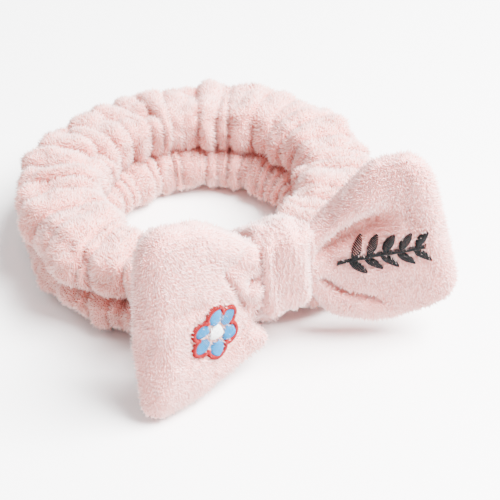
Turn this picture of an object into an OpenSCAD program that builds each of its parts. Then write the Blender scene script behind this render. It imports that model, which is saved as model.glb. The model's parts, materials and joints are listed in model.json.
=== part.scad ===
// Spa headband: a gathered fleece tube over an elastic ring, with a fleece bow held by a wrap.
// Millimetres. +Z is up and the bow faces -Y. The origin is under the middle of the whole
// headband, on the plane it rests on.

/* [Band] */
// Clear depth of the relaxed head opening, front to back
opening_d = 80; // [70:1:100]
// Straight stretch in the front and the rear of the ring, which makes it an oval
side_flat = 8; // [4:1:30]
// Thickness of the upper roll of the band, from the opening to the outside
upper_roll_t = 46; // [38:1:56]
// How much slimmer the lower roll is on each face
lower_step = 2; // [0:0.5:4]
// Height of the band
band_h = 48; // [40:1:60]
// Thickness of the band at the crease between its two rolls
waist_t = 26; // [20:1:30]
// Thickness of the fleece
fleece_t = 4; // [3:0.25:5]
// How far the bow presses the front of the band flat
front_press = 7; // [5:0.5:9]

/* [Elastic] */
// Width of the elastic
elastic_w = 20; // [12:1:24]
// Thickness of the elastic
elastic_t = 1.2; // [0.8:0.1:2]
// Length of the zigzag that joins the two ends of the elastic
join_len = 7; // [4:0.5:7.5]

/* [Wrap] */
// Width of the wrap in the middle of the bow
wrap_w = 28; // [22:1:36]
// Thickness of the wrap's fleece
wrap_t = 4.5; // [3:0.25:6]
// Thickness of the band where the wrap squeezes it
neck_t = 28; // [24:1:34]
// Wall of the squeezed fleece
neck_wall = 2.5; // [2:0.25:2.5]
// Gap between the wrap and the plane the band rests on
wrap_lift = 1.7; // [0.5:0.1:3]

/* [Bow] */
// Thickness of a loop of the bow, both layers
loop_t = 17; // [14:0.5:21]
// Thickness of one layer of a loop
loop_wall = 5; // [3.5:0.25:6]
// Height of a loop beside the wrap
root_h = 58; // [50:1:62]
// Distance of that height's middle below the loop's middle line
root_drop = 5; // [3:0.5:7]
// Height of a loop where it is fullest
belly_h = 86; // [78:1:92]
// Distance of that place from the fold beside the wrap
belly_out = 22; // [18:1:26]
// Distance of its middle below the loop's middle line
belly_drop = 2; // [0:0.5:4]
// Height of the left loop's outer end
left_end_h = 94; // [78:1:114]
// Height of the right loop's outer end
right_end_h = 80; // [68:1:96]
// Reach of the left loop from its fold beside the wrap
left_reach = 56; // [47:1:68]
// Reach of the right loop from its fold beside the wrap
right_reach = 52; // [43:1:63]
// Angle by which the left loop stands forward
left_yaw = 13; // [6:1:20]
// Angle by which the right loop stands forward
right_yaw = 27; // [15:1:32]
// Lean of the right loop's outer end
right_lean = 15; // [5:1:20]
// Height by which the right loop's outer end is carried above the left one's
right_rise = 12.5; // [8:0.5:18]
// Thickness of the bow where it is pinched
core_t = 12; // [9:0.5:14]
// Height of the bow where it is pinched
core_h = 34; // [28:1:41]
// Gap between the left loop and the plane the band rests on
loop_lift = 2.5; // [2:0.25:6]

/* [Embroidery] */
// Thickness of the embroidery
embroidery_t = 1.0; // [0.6:0.1:1.4]
// Distance of the flower's middle from the left loop's fold
flower_out = 20; // [18:1:26]
// Distance of the flower's middle below the loop's middle line
flower_drop = 12; // [6:1:16]
// Radius of the ring on which the petals sit
petal_ring_r = 8.5; // [8:0.5:10]
// Radius of one petal
petal_r = 4.2; // [4:0.1:4.6]
// Radius of the flower's middle
flower_eye_r = 3.4; // [2.5:0.1:3.8]
// Length of the sprig
sprig_len = 38; // [30:1:40]
// Width of the sprig's stem
sprig_stem_w = 1.6; // [1:0.1:2.2]
// Thickness of the backing inside a loop
backing_t = 0.6; // [0.4:0.1:1]
// Side of the backing
backing_side = 32; // [26:1:36]

/* [Thread] */
// Diameter of the sewing thread
thread_d = 1.0; // [0.6:0.1:1.2]
// Diameter of the thread wound round the pinched middle
winding_d = 1.4; // [1:0.1:1.8]
// Turns of that thread
winding_turns = 4; // [2:1:5]

/* [Hidden] */
$fn = 48;

fleece = [0.95, 0.85, 0.83];
towel = [0.94, 0.82, 0.80];
thread_pink = [0.90, 0.72, 0.69];
white = [0.97, 0.97, 0.96];

touch = 0.05;             // between pieces of one body that lie on each other
fit = 0.3;                // round what a piece is wrapped about, and between bodies
turn_gap = 0.4;           // between the wrap and a loop that swings beside it
elastic_gap = 0.4;        // round the elastic in its tunnel
through = 1;              // overrun of a cut past the faces it opens
crease_h = 4;             // height of the crease's floor
waist_overlap = 2;        // how far the two rolls run into each other
dimple = 0.8;             // depth of the groove a seam is pulled into
puff_gap = 1;             // from the wrap's side to the first puff's inner end

lower_roll_t = upper_roll_t - 2 * lower_step;
roll_h = (band_h + waist_overlap) / 2;
ring_r = (opening_d + upper_roll_t) / 2;
outer_r = ring_r + upper_roll_t / 2;
band_w = 2 * outer_r + side_flat;
waist_z = band_h / 2;
pressed_r = outer_r - front_press;
inner_r = ring_r - upper_roll_t / 2;
neck_angle = asin((wrap_w / 2 + puff_gap - side_flat / 2) / inner_r);
wall_angle = fleece_t / ring_r * 180 / PI;
neck_half = side_flat / 2 + (ring_r + neck_t / 2) * tan(neck_angle) + through;
neck_h = band_h - 2 * (wrap_lift + wrap_t + fit);

loop_r = loop_t / 2;
bow_y = -(pressed_r + fit + touch + loop_r);
bow_z = max(left_end_h / 2, belly_h / 2 + belly_drop) + loop_lift;
hinge_x = wrap_w / 2 + turn_gap + loop_r;
lean_out = (right_end_h / 2 - loop_r) * sin(right_lean);
front_y = bow_y - (right_reach - loop_r + lean_out) * sin(right_yaw) - loop_r;
ring_y = -(front_y + outer_r) / 2;

// ---------- the band's section, drawn with its width along X and its height along Y ----------

// A flat bar with round ends, from its lowest corner up
module roll_section(t, h, z) {
    translate([-(t - h) / 2, z])
        square([t - h, h]);
    for (side = [-1, 1])
        translate([side * (t - h) / 2, z + h / 2])
            circle(d = h);
}

// Two rolls on top of each other, both made larger all round by grow
module rolls(grow) {
    roll_section(lower_roll_t + 2 * grow, roll_h + 2 * grow, -grow);
    roll_section(upper_roll_t + 2 * grow, roll_h + 2 * grow, band_h - roll_h - grow);
}

// The crease on both faces, which goes down to waist_t
module creases() {
    for (side = [-1, 1])
        translate([side * (waist_t + upper_roll_t) / 2, waist_z])
            square([upper_roll_t, crease_h], center = true);
}

module band_section() {
    difference() {
        rolls(0);
        creases();
    }
}

// The two hollows inside the rolls
module roll_hollows() {
    roll_section(lower_roll_t - 2 * fleece_t, roll_h - 2 * fleece_t, fleece_t);
    roll_section(upper_roll_t - 2 * fleece_t, roll_h - 2 * fleece_t, band_h - roll_h + fleece_t);
}

// The elastic's section, made larger all round by grow
module elastic_section(grow) {
    translate([0, waist_z])
        square([elastic_t + 2 * grow, elastic_w + 2 * grow], center = true);
}

// ---------- sweeps along the oval ring ----------

// Sweeps a section along one arc at the ring's left (-1) or right (1) end
module arc_sweep(side, from, to) {
    translate([side * side_flat / 2, 0, 0])
        rotate([0, 0, from])
            rotate_extrude(angle = to - from)
                translate([ring_r, 0])
                    children();
}

// Sweeps a section along the straight stretch in the front (-1) or the rear (1)
module flat_sweep(end) {
    translate([-side_flat / 2, end * ring_r, 0])
        rotate([90, 0, 90])
            linear_extrude(side_flat)
                mirror([end < 0 ? 1 : 0, 0])
                    children();
}

// The rear half of the ring
module rear_sweep() {
    arc_sweep(1, 0, 90)
        children();
    arc_sweep(-1, 90, 180)
        children();
    flat_sweep(1)
        children();
}

// The front half of the ring, whole
module front_sweep() {
    arc_sweep(-1, 180, 270)
        children();
    arc_sweep(1, 270, 360)
        children();
    flat_sweep(-1)
        children();
}

// The front half without the stretch that the wrap squeezes
module front_puffs(cut) {
    arc_sweep(-1, 180, 270 - cut)
        children();
    arc_sweep(1, 270 + cut, 360)
        children();
}

// Everything on the ring stands here. The halves part by half of fit each.
module at_ring(half) {
    translate([0, ring_y + half * fit / 2, 0])
        children();
}

// Everything in front of the plane that the bow presses the band to
module bow_side(depth) {
    translate([-band_w / 2, -outer_r - through - depth, -through])
        cube([band_w, front_press + through + 2 * depth, band_h + 2 * through]);
}

// ---------- the band ----------

module neck_block(wall, half) {
    translate([-half, -ring_r - neck_t / 2 + wall, waist_z - neck_h / 2 + wall])
        cube([2 * half, neck_t - 2 * wall, neck_h - 2 * wall]);
}

module elastic_tunnel(grow) {
    front_sweep()
        elastic_section(grow);
}

module cover_front() {
    color(fleece)
        at_ring(-1)
            difference() {
                union() {
                    difference() {
                        front_puffs(neck_angle)
                            band_section();
                        bow_side(0);
                    }
                    neck_block(0, neck_half);
                }
                difference() {
                    front_puffs(neck_angle + wall_angle)
                        roll_hollows();
                    bow_side(fleece_t);
                }
                neck_block(neck_wall, neck_half + fleece_t);
                elastic_tunnel(elastic_gap);
                seam_groove_front();
            }
}

module cover_rear() {
    color(fleece)
        at_ring(1)
            difference() {
                rear_sweep()
                    band_section();
                rear_sweep()
                    roll_hollows();
                rear_sweep()
                    elastic_section(elastic_gap);
                rear_sweep()
                    tube_seam_section(dimple);
                end_seam_slab(thread_d + 2 * touch, touch, -dimple);
            }
}

module elastic_front() {
    color(white)
        at_ring(-1)
            elastic_tunnel(0);
}

// The rear half, whose two ends are joined in the middle
module elastic_rear() {
    color(white)
        at_ring(1)
            rear_sweep()
                elastic_section(0);
}

// ---------- threads of the band ----------

// A thread lying in the crease, on the outer (1) or the inner (-1) face
module waist_thread_section(face) {
    translate([face * (waist_t / 2 + thread_d / 2 + touch), waist_z])
        circle(d = thread_d);
}

module waist_thread_front(face) {
    color(thread_pink)
        at_ring(-1)
            front_puffs(neck_angle + wall_angle / 2)
                waist_thread_section(face);
}

module waist_thread_rear(face) {
    color(thread_pink)
        at_ring(1)
            difference() {
                rear_sweep()
                    waist_thread_section(face);
                end_seam_slab(thread_d + 4 * touch, upper_roll_t, -dimple);
            }
}

module waist_thread_outer_front() { waist_thread_front(1); }
module waist_thread_outer_rear() { waist_thread_rear(1); }
module waist_thread_inner_front() { waist_thread_front(-1); }
module waist_thread_inner_rear() { waist_thread_rear(-1); }

// The seam that closes the tube runs along the opening's side of the lower roll
module tube_seam_section(room) {
    translate([-lower_roll_t / 2 + dimple / 2, roll_h / 2])
        square([dimple + room * 2 * touch, thread_d + room * 2 * touch], center = true);
}

module seam_groove_front() {
    front_puffs(neck_angle - wall_angle)
        tube_seam_section(dimple);
}

module tube_seam_front() {
    color(thread_pink)
        at_ring(-1)
            front_puffs(neck_angle)
                tube_seam_section(0);
}

module tube_seam_rear() {
    color(thread_pink)
        at_ring(1)
            difference() {
                rear_sweep()
                    tube_seam_section(0);
                end_seam_slab(thread_d + 4 * touch, touch, -2 * dimple);
            }
}

// A slab round the whole section in the middle of the rear, between two outlines of it
module end_seam_slab(width, outer, inner) {
    translate([-width / 2, ring_r, 0])
        rotate([90, 0, 90])
            linear_extrude(width)
                difference() {
                    rolls(outer);
                    rolls(inner);
                }
}

module tube_end_seam() {
    color(thread_pink)
        at_ring(1)
            end_seam_slab(thread_d, -touch, touch - dimple);
}

// A zigzag across the joined ends of the elastic
module elastic_join_stitches() {
    passes = 5;
    step = (elastic_w - 4) / passes;
    bar_w = 0.5;
    bar_t = 0.3;
    color(white)
        at_ring(1)
            for (i = [0 : passes - 1])
                translate([0, ring_r + elastic_t / 2 + touch + bar_t / 2,
                           waist_z + (i - (passes - 1) / 2) * step])
                    rotate([0, i % 2 == 0 ? 25 : -25, 0])
                        cube([join_len, bar_t, bar_w], center = true);
}

// ---------- the wrap and the bow's middle ----------

module neck_outline(grow) {
    translate([-ring_r - neck_t / 2 - grow, waist_z - neck_h / 2 - grow])
        square([neck_t + 2 * grow, neck_h + 2 * grow]);
}

module core_outline(grow) {
    translate([bow_y - core_t / 2 - grow, bow_z - core_h / 2 - grow])
        square([core_t + 2 * grow, core_h + 2 * grow]);
}

// What the wrap goes round, seen from the side
module wrapped_outline() {
    hull() {
        neck_outline(fit);
        core_outline(fit);
    }
}

module wrap() {
    color(towel)
        at_ring(-1)
            translate([-wrap_w / 2, 0, 0])
                rotate([90, 0, 90])
                    linear_extrude(wrap_w)
                        difference() {
                            offset(r = wrap_t)
                                wrapped_outline();
                            wrapped_outline();
                        }
}

// Hand stitches up the wrap's back, where its two ends meet
module wrap_closing_stitches() {
    stitches = 6;
    pitch = (neck_h - 6) / stitches;
    back_y = -ring_r + neck_t / 2 + fit + wrap_t + touch;
    color(thread_pink)
        at_ring(-1)
            for (i = [0 : stitches - 1])
                translate([0, back_y + thread_d / 2, waist_z + (i - (stitches - 1) / 2) * pitch])
                    rotate([0, 70, 0])
                        cylinder(d = thread_d, h = 5, center = true);
}

// Stitches from the bow's middle through to the band
module wrap_tack_stitches() {
    from_y = bow_y + core_t / 2 + touch;
    to_y = -ring_r - neck_t / 2 - touch;
    low_z = bow_z - core_h / 2;
    high_z = waist_z + neck_h / 2;
    color(thread_pink)
        at_ring(-1)
            for (x = [-8, 0, 8])
                translate([x, from_y, (low_z + high_z) / 2])
                    rotate([-90, 0, 0])
                        cylinder(d = thread_d, h = to_y - from_y);
}

winding_w = winding_d * winding_turns;

module bow_core() {
    color(towel)
        at_ring(-1)
            difference() {
                translate([-wrap_w / 2, bow_y - core_t / 2, bow_z - core_h / 2])
                    cube([wrap_w, core_t, core_h]);
                translate([-winding_w / 2, 0, 0])
                    rotate([90, 0, 90])
                        linear_extrude(winding_w)
                            difference() {
                                core_outline(through);
                                core_outline(-winding_d);
                            }
            }
}

// Turns of thread wound tightly round the pinched middle, side by side
module gather_thread() {
    turn = winding_d * 1.02;
    color(thread_pink)
        at_ring(-1)
            intersection() {
                translate([-winding_w / 2 + touch, -2 * outer_r, 0])
                    cube([winding_w - 2 * touch, 4 * outer_r, 4 * band_h]);
                for (i = [0 : winding_turns - 1])
                    translate([(i - (winding_turns - 1) / 2) * winding_d - turn / 2, 0, 0])
                        rotate([90, 0, 90])
                            linear_extrude(turn)
                                difference() {
                                    core_outline(-touch - (i % 2) * 0.2);
                                    core_outline(touch - winding_d);
                                }
            }
}

// ---------- the bow's loops ----------

// A loop's own frame: X runs out from the fold, Y is straight up, and its front faces -Z.
// Corners of a loop, along its lower edge outwards and back along its upper edge:
// beside the wrap, where it is fullest, and at the outer end.
function loop_corners(reach, end_h, lean, rise) =
    let (out = reach - loop_r,
         half = end_h / 2 - loop_r,
         root = root_h / 2 - loop_r,
         belly = belly_h / 2 - loop_r,
         belly_y = rise * belly_out / out - belly_drop)
    [[0, -root - root_drop], [belly_out, belly_y - belly],
     [out + half * sin(lean), rise - half * cos(lean)],
     [out - half * sin(lean), rise + half * cos(lean)],
     [belly_out, belly_y + belly], [0, root - root_drop]];

left_corners = loop_corners(left_reach, left_end_h, 0, 0);
right_corners = loop_corners(right_reach, right_end_h, right_lean, right_rise);

// Puts a loop's own frame beside the wrap, on the left (-1) or on the right (1)
module at_loop(side) {
    yaw = side < 0 ? left_yaw : right_yaw;
    at_ring(-1)
        translate([side * hinge_x, bow_y, bow_z])
            rotate([0, 0, -side * yaw])
                mirror([side < 0 ? 1 : 0, 0, 0])
                    rotate([90, 0, 0])
                        children();
}

// The outline between the corners, moved in by inset and left open beside the wrap
module pocket_outline(corners, inset) {
    low = corners[2];
    high = corners[3];
    polygon([[-loop_r - through, corners[0][1] + inset],
             [corners[1][0], corners[1][1] + inset],
             [low[0] - inset, low[1] + inset],
             [high[0] - inset, high[1] - inset],
             [corners[4][0], corners[4][1] - inset],
             [-loop_r - through, corners[5][1] - inset]]);
}

pocket_t = loop_t - 2 * loop_wall;

module loop_body(corners) {
    difference() {
        hull()
            for (c = corners)
                translate([c[0], c[1], 0])
                    sphere(r = loop_r, $fn = 32);
        translate([0, 0, -pocket_t / 2])
            linear_extrude(pocket_t)
                pocket_outline(corners, 1);
    }
}

module bow_left_loop() {
    color(towel)
        at_loop(-1)
            loop_body(left_corners);
}

module bow_right_loop() {
    color(towel)
        at_loop(1)
            loop_body(right_corners);
}

// The thread that closes a loop, along the outer stretch of its lower edge
module lower_edge_thread(corners) {
    from = corners[1];
    to = corners[2];
    span = to - from;
    angle = atan2(span[1], span[0]);
    translate([from[0], from[1], 0])
        rotate([0, 0, angle])
            translate([0, -loop_r - thread_d / 2 - touch, 0])
                rotate([0, 90, 0])
                    cylinder(d = thread_d, h = norm(span));
}

module left_loop_seam() {
    color(thread_pink)
        at_loop(-1)
            lower_edge_thread(left_corners);
}

module right_loop_seam() {
    color(thread_pink)
        at_loop(1)
            lower_edge_thread(right_corners);
}

// A square of backing against the front layer's inner side
module backing(middle) {
    color(white)
        translate([middle[0], middle[1], pocket_t / 2 - touch - backing_t / 2])
            cube([backing_side, backing_side, backing_t], center = true);
}

flower_at = [flower_out, -flower_drop];
sprig_start = 5;
sprig_angle = atan2(right_rise, right_reach - loop_r) - 4;

module left_backing() {
    at_loop(-1)
        backing([backing_side / 2, 0]);
}

module right_backing() {
    at_loop(1)
        rotate([0, 0, sprig_angle])
            backing([backing_side / 2 + 2, 0]);
}

// ---------- embroidery on the loops' front faces ----------

module on_front() {
    translate([0, 0, loop_r + touch])
        linear_extrude(embroidery_t)
            children();
}

petals = 6;

module petal_discs(r) {
    for (i = [0 : petals - 1])
        rotate([0, 0, i * 360 / petals + 15])
            translate([petal_ring_r, 0])
                circle(r = r);
}

module at_flower() {
    at_loop(-1)
        translate([flower_at[0], flower_at[1], 0])
            on_front()
                children();
}

outline_w = 1.2;

module flower_petals() {
    color([0.35, 0.68, 0.87])
        at_flower()
            difference() {
                petal_discs(petal_r - outline_w);
                circle(r = flower_eye_r + outline_w + 2 * touch);
            }
}

module flower_outline() {
    color([0.76, 0.12, 0.20])
        at_flower() {
            difference() {
                petal_discs(petal_r);
                petal_discs(petal_r - outline_w + touch);
                circle(r = flower_eye_r + outline_w / 2);
            }
            difference() {
                circle(r = flower_eye_r + outline_w);
                circle(r = flower_eye_r + touch);
            }
        }
}

module flower_eye() {
    color(white)
        at_flower()
            circle(r = flower_eye_r);
}

leaf_pairs = 5;
leaf_len = 7.5;
leaf_w = 3.4;

module at_sprig() {
    at_loop(1)
        rotate([0, 0, sprig_angle])
            translate([sprig_start, 0, 0])
                on_front()
                    children();
}

module sprig_stem() {
    color([0.08, 0.08, 0.09])
        at_sprig()
            translate([0, -sprig_stem_w / 2])
                square([sprig_len, sprig_stem_w]);
}

// A pointed leaf: where two circles cross
module leaf() {
    r = (leaf_len * leaf_len + leaf_w * leaf_w) / (4 * leaf_w);
    intersection() {
        translate([leaf_len / 2, r - leaf_w / 2])
            circle(r = r);
        translate([leaf_len / 2, leaf_w / 2 - r])
            circle(r = r);
    }
}

module sprig_leaves() {
    step = (sprig_len - leaf_len) / leaf_pairs;
    color([0.08, 0.08, 0.09])
        at_sprig()
            for (i = [0 : leaf_pairs - 1], side = [-1, 1])
                translate([step * (i + 0.5 + side * 0.2), side * (sprig_stem_w / 2 + 0.4)])
                    rotate([0, 0, side * 50])
                        leaf();
}

cover_front();
cover_rear();
elastic_front();
elastic_rear();
waist_thread_outer_front();
waist_thread_outer_rear();
waist_thread_inner_front();
waist_thread_inner_rear();
tube_seam_front();
tube_seam_rear();
tube_end_seam();
elastic_join_stitches();
wrap();
wrap_closing_stitches();
wrap_tack_stitches();
bow_core();
gather_thread();
bow_left_loop();
bow_right_loop();
left_loop_seam();
right_loop_seam();
left_backing();
right_backing();
flower_petals();
flower_outline();
flower_eye();
sprig_stem();
sprig_leaves();
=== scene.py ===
# %% [markdown]
# # A fleece spa headband with a bow
# The headband is a fleece tube gathered over an elastic ring, with a fleece bow at its front.
# Its sizes and joints were settled in the CAD model. This lesson dresses that model in fleece:
# first the big soft shapes as meshes, then their pile as thousands of small tufts, then the
# threads. Everything is in metres, and every piece is built where the CAD model says it is.

import json
import math

import bmesh
import bpy
import numpy as np
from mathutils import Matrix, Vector
from mathutils import noise as bpy_noise
from mathutils.bvhtree import BVHTree
from mathutils.geometry import barycentric_transform


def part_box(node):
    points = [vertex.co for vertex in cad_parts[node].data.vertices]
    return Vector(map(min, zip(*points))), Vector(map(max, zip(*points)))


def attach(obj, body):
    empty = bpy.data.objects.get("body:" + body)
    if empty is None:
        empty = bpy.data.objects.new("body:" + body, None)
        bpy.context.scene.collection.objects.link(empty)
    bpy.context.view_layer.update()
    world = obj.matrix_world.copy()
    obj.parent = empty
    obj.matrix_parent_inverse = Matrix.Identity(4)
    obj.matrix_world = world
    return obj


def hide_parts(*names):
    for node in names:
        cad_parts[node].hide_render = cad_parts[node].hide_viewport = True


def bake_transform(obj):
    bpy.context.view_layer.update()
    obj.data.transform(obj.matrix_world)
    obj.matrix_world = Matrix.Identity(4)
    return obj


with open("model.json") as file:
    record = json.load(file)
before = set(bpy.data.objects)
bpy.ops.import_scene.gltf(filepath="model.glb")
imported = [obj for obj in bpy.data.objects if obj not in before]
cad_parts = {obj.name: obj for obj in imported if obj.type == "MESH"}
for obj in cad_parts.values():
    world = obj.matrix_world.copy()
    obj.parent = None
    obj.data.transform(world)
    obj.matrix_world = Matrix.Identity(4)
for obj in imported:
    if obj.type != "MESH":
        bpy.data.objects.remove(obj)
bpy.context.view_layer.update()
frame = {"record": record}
joints = {j["name"]: j for j in frame["record"]["behaviour"]["joints"]}

# %% [markdown]
# ## Sizes
# The driving sizes are read back from the boxes of the CAD nodes, so that the fleece follows
# the model if it changes. What a box can't say, such as the yaw of a loop, is repeated here.

# %% Read the sizes
MM = 0.001


def box_of(node):
    """The lowest and the highest corner of a CAD node, as numpy arrays."""
    lo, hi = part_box(node)
    return np.array(lo), np.array(hi)


rear_lo, rear_hi = box_of("cover_rear")
front_lo, front_hi = box_of("cover_front")
elastic_lo, elastic_hi = box_of("elastic_front")
wrap_lo, wrap_hi = box_of("wrap")
core_lo, core_hi = box_of("bow_core")

ring_y = (front_hi[1] + rear_lo[1]) / 2
ring_h = rear_hi[2]
outer_y = rear_hi[1] - ring_y
outer_x = rear_hi[0]
elastic_t = 1.2 * MM                # a turned strip's box can't say how thick it is
mid_x = elastic_hi[0] - elastic_t / 2
mid_y = outer_y - (outer_x - mid_x)
roll_t = 2 * (outer_x - mid_x)
waist_z = ring_h / 2
pressed_y = front_lo[1] - ring_y
wrap_half = wrap_hi[0]
bow_y = (core_lo[1] + core_hi[1]) / 2
bow_z = (core_lo[2] + core_hi[2]) / 2
print("ring", round(outer_x * 2000, 1), "x", round(outer_y * 2000, 1), "mm, tube",
      round(roll_t * 1000, 1), "mm, bow plane at", round(bow_y * 1000, 1))

# %% [markdown]
# ## Camera
# The view is the one a shop would take: from a little left of the front, well above the
# table, with a long lens, so that the ring and both loops show.

# %% Place the camera
AZIMUTH = math.radians(-26.2)
ELEVATION = math.radians(38.5)
DISTANCE = 0.7066
LENS = 101.45
AIM_HEIGHT, AIM_RIGHT, AIM_UP = 0.020, 0.0244, -0.0190

back = Vector((math.sin(AZIMUTH) * math.cos(ELEVATION),
               -math.cos(AZIMUTH) * math.cos(ELEVATION), math.sin(ELEVATION)))
right = Vector((math.cos(AZIMUTH), math.sin(AZIMUTH), 0))
up = back.cross(right)
aim = Vector((0, ring_y, AIM_HEIGHT)) + right * AIM_RIGHT + up * AIM_UP

camera = bpy.data.objects.new("camera", bpy.data.cameras.new("camera"))
bpy.context.scene.collection.objects.link(camera)
camera.data.sensor_width = 36
camera.data.lens = LENS
camera.data.clip_start = 0.01
camera.location = aim + back * DISTANCE
camera.rotation_mode = "QUATERNION"
camera.rotation_quaternion = (-back).to_track_quat("-Z", "Y")
bpy.context.scene.camera = camera
print("camera stands", round(DISTANCE * 1000), "mm from what it looks at")

# %% [markdown]
# ## Mesh helpers
# A soft shape here is a grid of points wrapped into a tube: rows go round the shape and
# columns go along it. One helper turns such a grid into a mesh, closed along either way.

# %% Grid to mesh
def mesh_object(name, points, faces):
    """A linked, smooth-shaded object at the origin from points (n, 3) and faces."""
    mesh = bpy.data.meshes.new(name)
    mesh.from_pydata([tuple(p) for p in points], [], [tuple(f) for f in faces])
    mesh.polygons.foreach_set("use_smooth", [True] * len(mesh.polygons))
    mesh.update()
    piece = bpy.data.objects.new(name, mesh)
    bpy.context.scene.collection.objects.link(piece)
    return piece


def tube_faces(rings, sides, closed_rings):
    """Quads of a tube: rings along it, sides round it."""
    faces = []
    last = rings if closed_rings else rings - 1
    for i in range(last):
        a = i * sides
        b = ((i + 1) % rings) * sides
        for j in range(sides):
            k = (j + 1) % sides
            faces.append((a + j, a + k, b + k, b + j))
    return faces

# %% Close a mesh and turn it outwards
MERGE = 1e-6


def face_outwards(piece):
    """Merges doubles and turns every face outwards."""
    work = bmesh.new()
    work.from_mesh(piece.data)
    bmesh.ops.remove_doubles(work, verts=work.verts, dist=MERGE)
    bmesh.ops.recalc_face_normals(work, faces=work.faces)
    work.to_mesh(piece.data)
    work.free()
    piece.data.update()

# %% Soft steps and soft wobbles
def smoothstep(low, high, x):
    """0 below low, 1 above high, with a soft turn between."""
    t = np.clip((x - low) / (high - low), 0, 1)
    return t * t * (3 - 2 * t)


def soft_noise(angle, seed, waves):
    """A smooth closed wobble between about -1 and 1 of an angle, as a sum of a few waves."""
    draw = np.random.default_rng(seed)
    total = np.zeros_like(angle)
    for w in waves:
        start = draw.uniform(0, 2 * math.pi)
        total = total + math.sqrt(1 / len(waves)) * np.sin(w * angle + start)
    return total

# %% Numbers kept on a mesh
def store_weight(piece, name, values):
    """Keeps one number per point on the mesh, for materials and Geometry Nodes."""
    layer = piece.data.attributes.new(name, "FLOAT", "POINT")
    layer.data.foreach_set("value", np.asarray(values, dtype=np.float32))


# %% [markdown]
# ## The fleece tube
# On the real band a fleece tube is sewn along its middle to a stretched elastic. When the
# elastic relaxes, the fleece gathers into puffs above and below that seam. The shape follows
# a rule, so it is computed: an oval ring, a section of two rolls with a crease between them,
# and a set of valleys that run over each roll, uneven in place, depth and width. Some puffs
# are pinched across as well, so that they read as lumps and not as ribs.

# %% Gathers of a roll
PILE = 2.0 * MM
MOST_FADE = 0.85
PINCH_WIDTH = 0.05


class Gathers:
    """Valleys that run over a roll from its outer crease to its inner one, with puffs between."""

    def __init__(self, count, seed, jitter):
        draw = np.random.default_rng(seed)
        step = 2 * math.pi / count
        self.count = count
        # where each valley lies, and how it wanders on its way over the roll
        self.place = (np.arange(count) + draw.uniform(-jitter, jitter, count)) * step
        self.drift = draw.uniform(-0.45, 0.45, count) * step
        self.bend = draw.uniform(-0.25, 0.25, count) * step
        # how deep it is, and how much of that it loses on top of the roll
        self.depth = draw.uniform(0.6, 1.2, count)
        self.fade = draw.uniform(0.0, 1.0, count)
        # how the puff after it swells, and where and how hard that puff is pinched across
        self.swell = draw.uniform(-0.8, 1.2, count)
        self.pinch_at = draw.uniform(0.28, 0.66, count)
        self.pinch = np.clip(draw.uniform(-0.5, 1.3, count), 0, 1)

    def read(self, angle, across):
        """Nearest valley: how far, its strength, and the swelling and cross pinch of its puff."""
        near = np.full(angle.shape, 1e9)
        other = np.full(angle.shape, 1e9)
        strength = np.zeros(angle.shape)
        swelling = np.zeros(angle.shape)
        pinched = np.zeros(angle.shape)
        for k in range(self.count):
            line = self.place[k] + self.drift[k] * (across - 0.5)
            line = line + self.bend[k] * np.sin(across * 2 * math.pi)
            signed = (angle - line + math.pi) % (2 * math.pi) - math.pi
            gap = np.abs(signed)
            closer = gap < near
            other = np.where(closer, near, np.minimum(other, gap))
            on_top = 1 - self.fade[k] * MOST_FADE * np.sin(across * math.pi) ** 2
            strength = np.where(closer, self.depth[k] * on_top, strength)
            side = np.where(signed > 0, self.swell[k], self.swell[k - 1])
            swelling = np.where(closer, side, swelling)
            own = np.where(signed > 0, self.pinch_at[k], self.pinch_at[k - 1])
            deep = np.where(signed > 0, self.pinch[k], self.pinch[k - 1])
            pinched = np.where(closer, deep * np.exp(-((across - own) / PINCH_WIDTH) ** 2), pinched)
            near = np.where(closer, gap, near)
        return near, other, strength, swelling, pinched

# %% Draw the valleys and the tucks
UPPER = Gathers(count=36, seed=11, jitter=0.36)
LOWER = Gathers(count=42, seed=5, jitter=0.26)
TUCKS = {True: Gathers(count=61, seed=23, jitter=0.4),
         False: Gathers(count=73, seed=29, jitter=0.4)}
print("puffs:", UPPER.count, "above the seam and", LOWER.count, "below it")

# %% Section of the two rolls
RINGS = 900
ROLL_STEPS = 54
START = math.radians(72)
NECK_EASE = 16 * MM
LOWER_STEP = 3 * MM


def roll_point(turn, width, height, middle_z, side):
    """A point of a roll's section: its offset outwards from the middle line, and its height."""
    c, s = np.cos(turn), np.sin(turn)
    out = width / 2 * np.sign(c) * np.abs(c) ** 0.72
    rise = height / 2 * np.sign(s) * np.abs(s) ** 0.85
    return out, middle_z + side * rise


def roll_size(theta, upper):
    """A roll's width, height and middle round the ring, and how free of the wrap it is there."""
    side = 1 if upper else -1
    beside = np.abs(mid_x * np.cos(theta))
    free = np.where(np.sin(theta) < 0,
                    smoothstep(wrap_half - 2 * MM, wrap_half + NECK_EASE, beside), 1.0)
    width = roll_t - 2 * PILE - (0 if upper else LOWER_STEP)
    width = width + 1.8 * MM * soft_noise(theta, 3 + upper, (3, 5, 8, 13))
    height = waist_z - PILE + (2.0 * MM if upper else 1.0 * MM)
    height = height + 1.2 * MM * soft_noise(theta, 7 + upper, (2, 5, 9, 14))
    middle = waist_z + side * (height / 2 - 1.2 * MM) * (0.72 + 0.28 * free)
    return width * (0.55 + 0.45 * free), height * (0.74 + 0.26 * free), middle, free


# %% Puffs, tucks and pinches
EDGE_DEPTH = {True: 9.6 * MM, False: 5.6 * MM}
TOP_DEPTH = {True: 5.0 * MM, False: 2.8 * MM}
INNER_REACH = {True: 0.80, False: 1.14}
CROSS_DEPTH = 4.4 * MM
TUCK_DEPTH = 2.6 * MM
SWELL, SWELL_SPREAD = 0.9 * MM, 1.3 * MM
# a valley this deep gets the full painted shade
FOLD_DEPTH_OF_FULL_SHADE = 5 * MM


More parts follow.
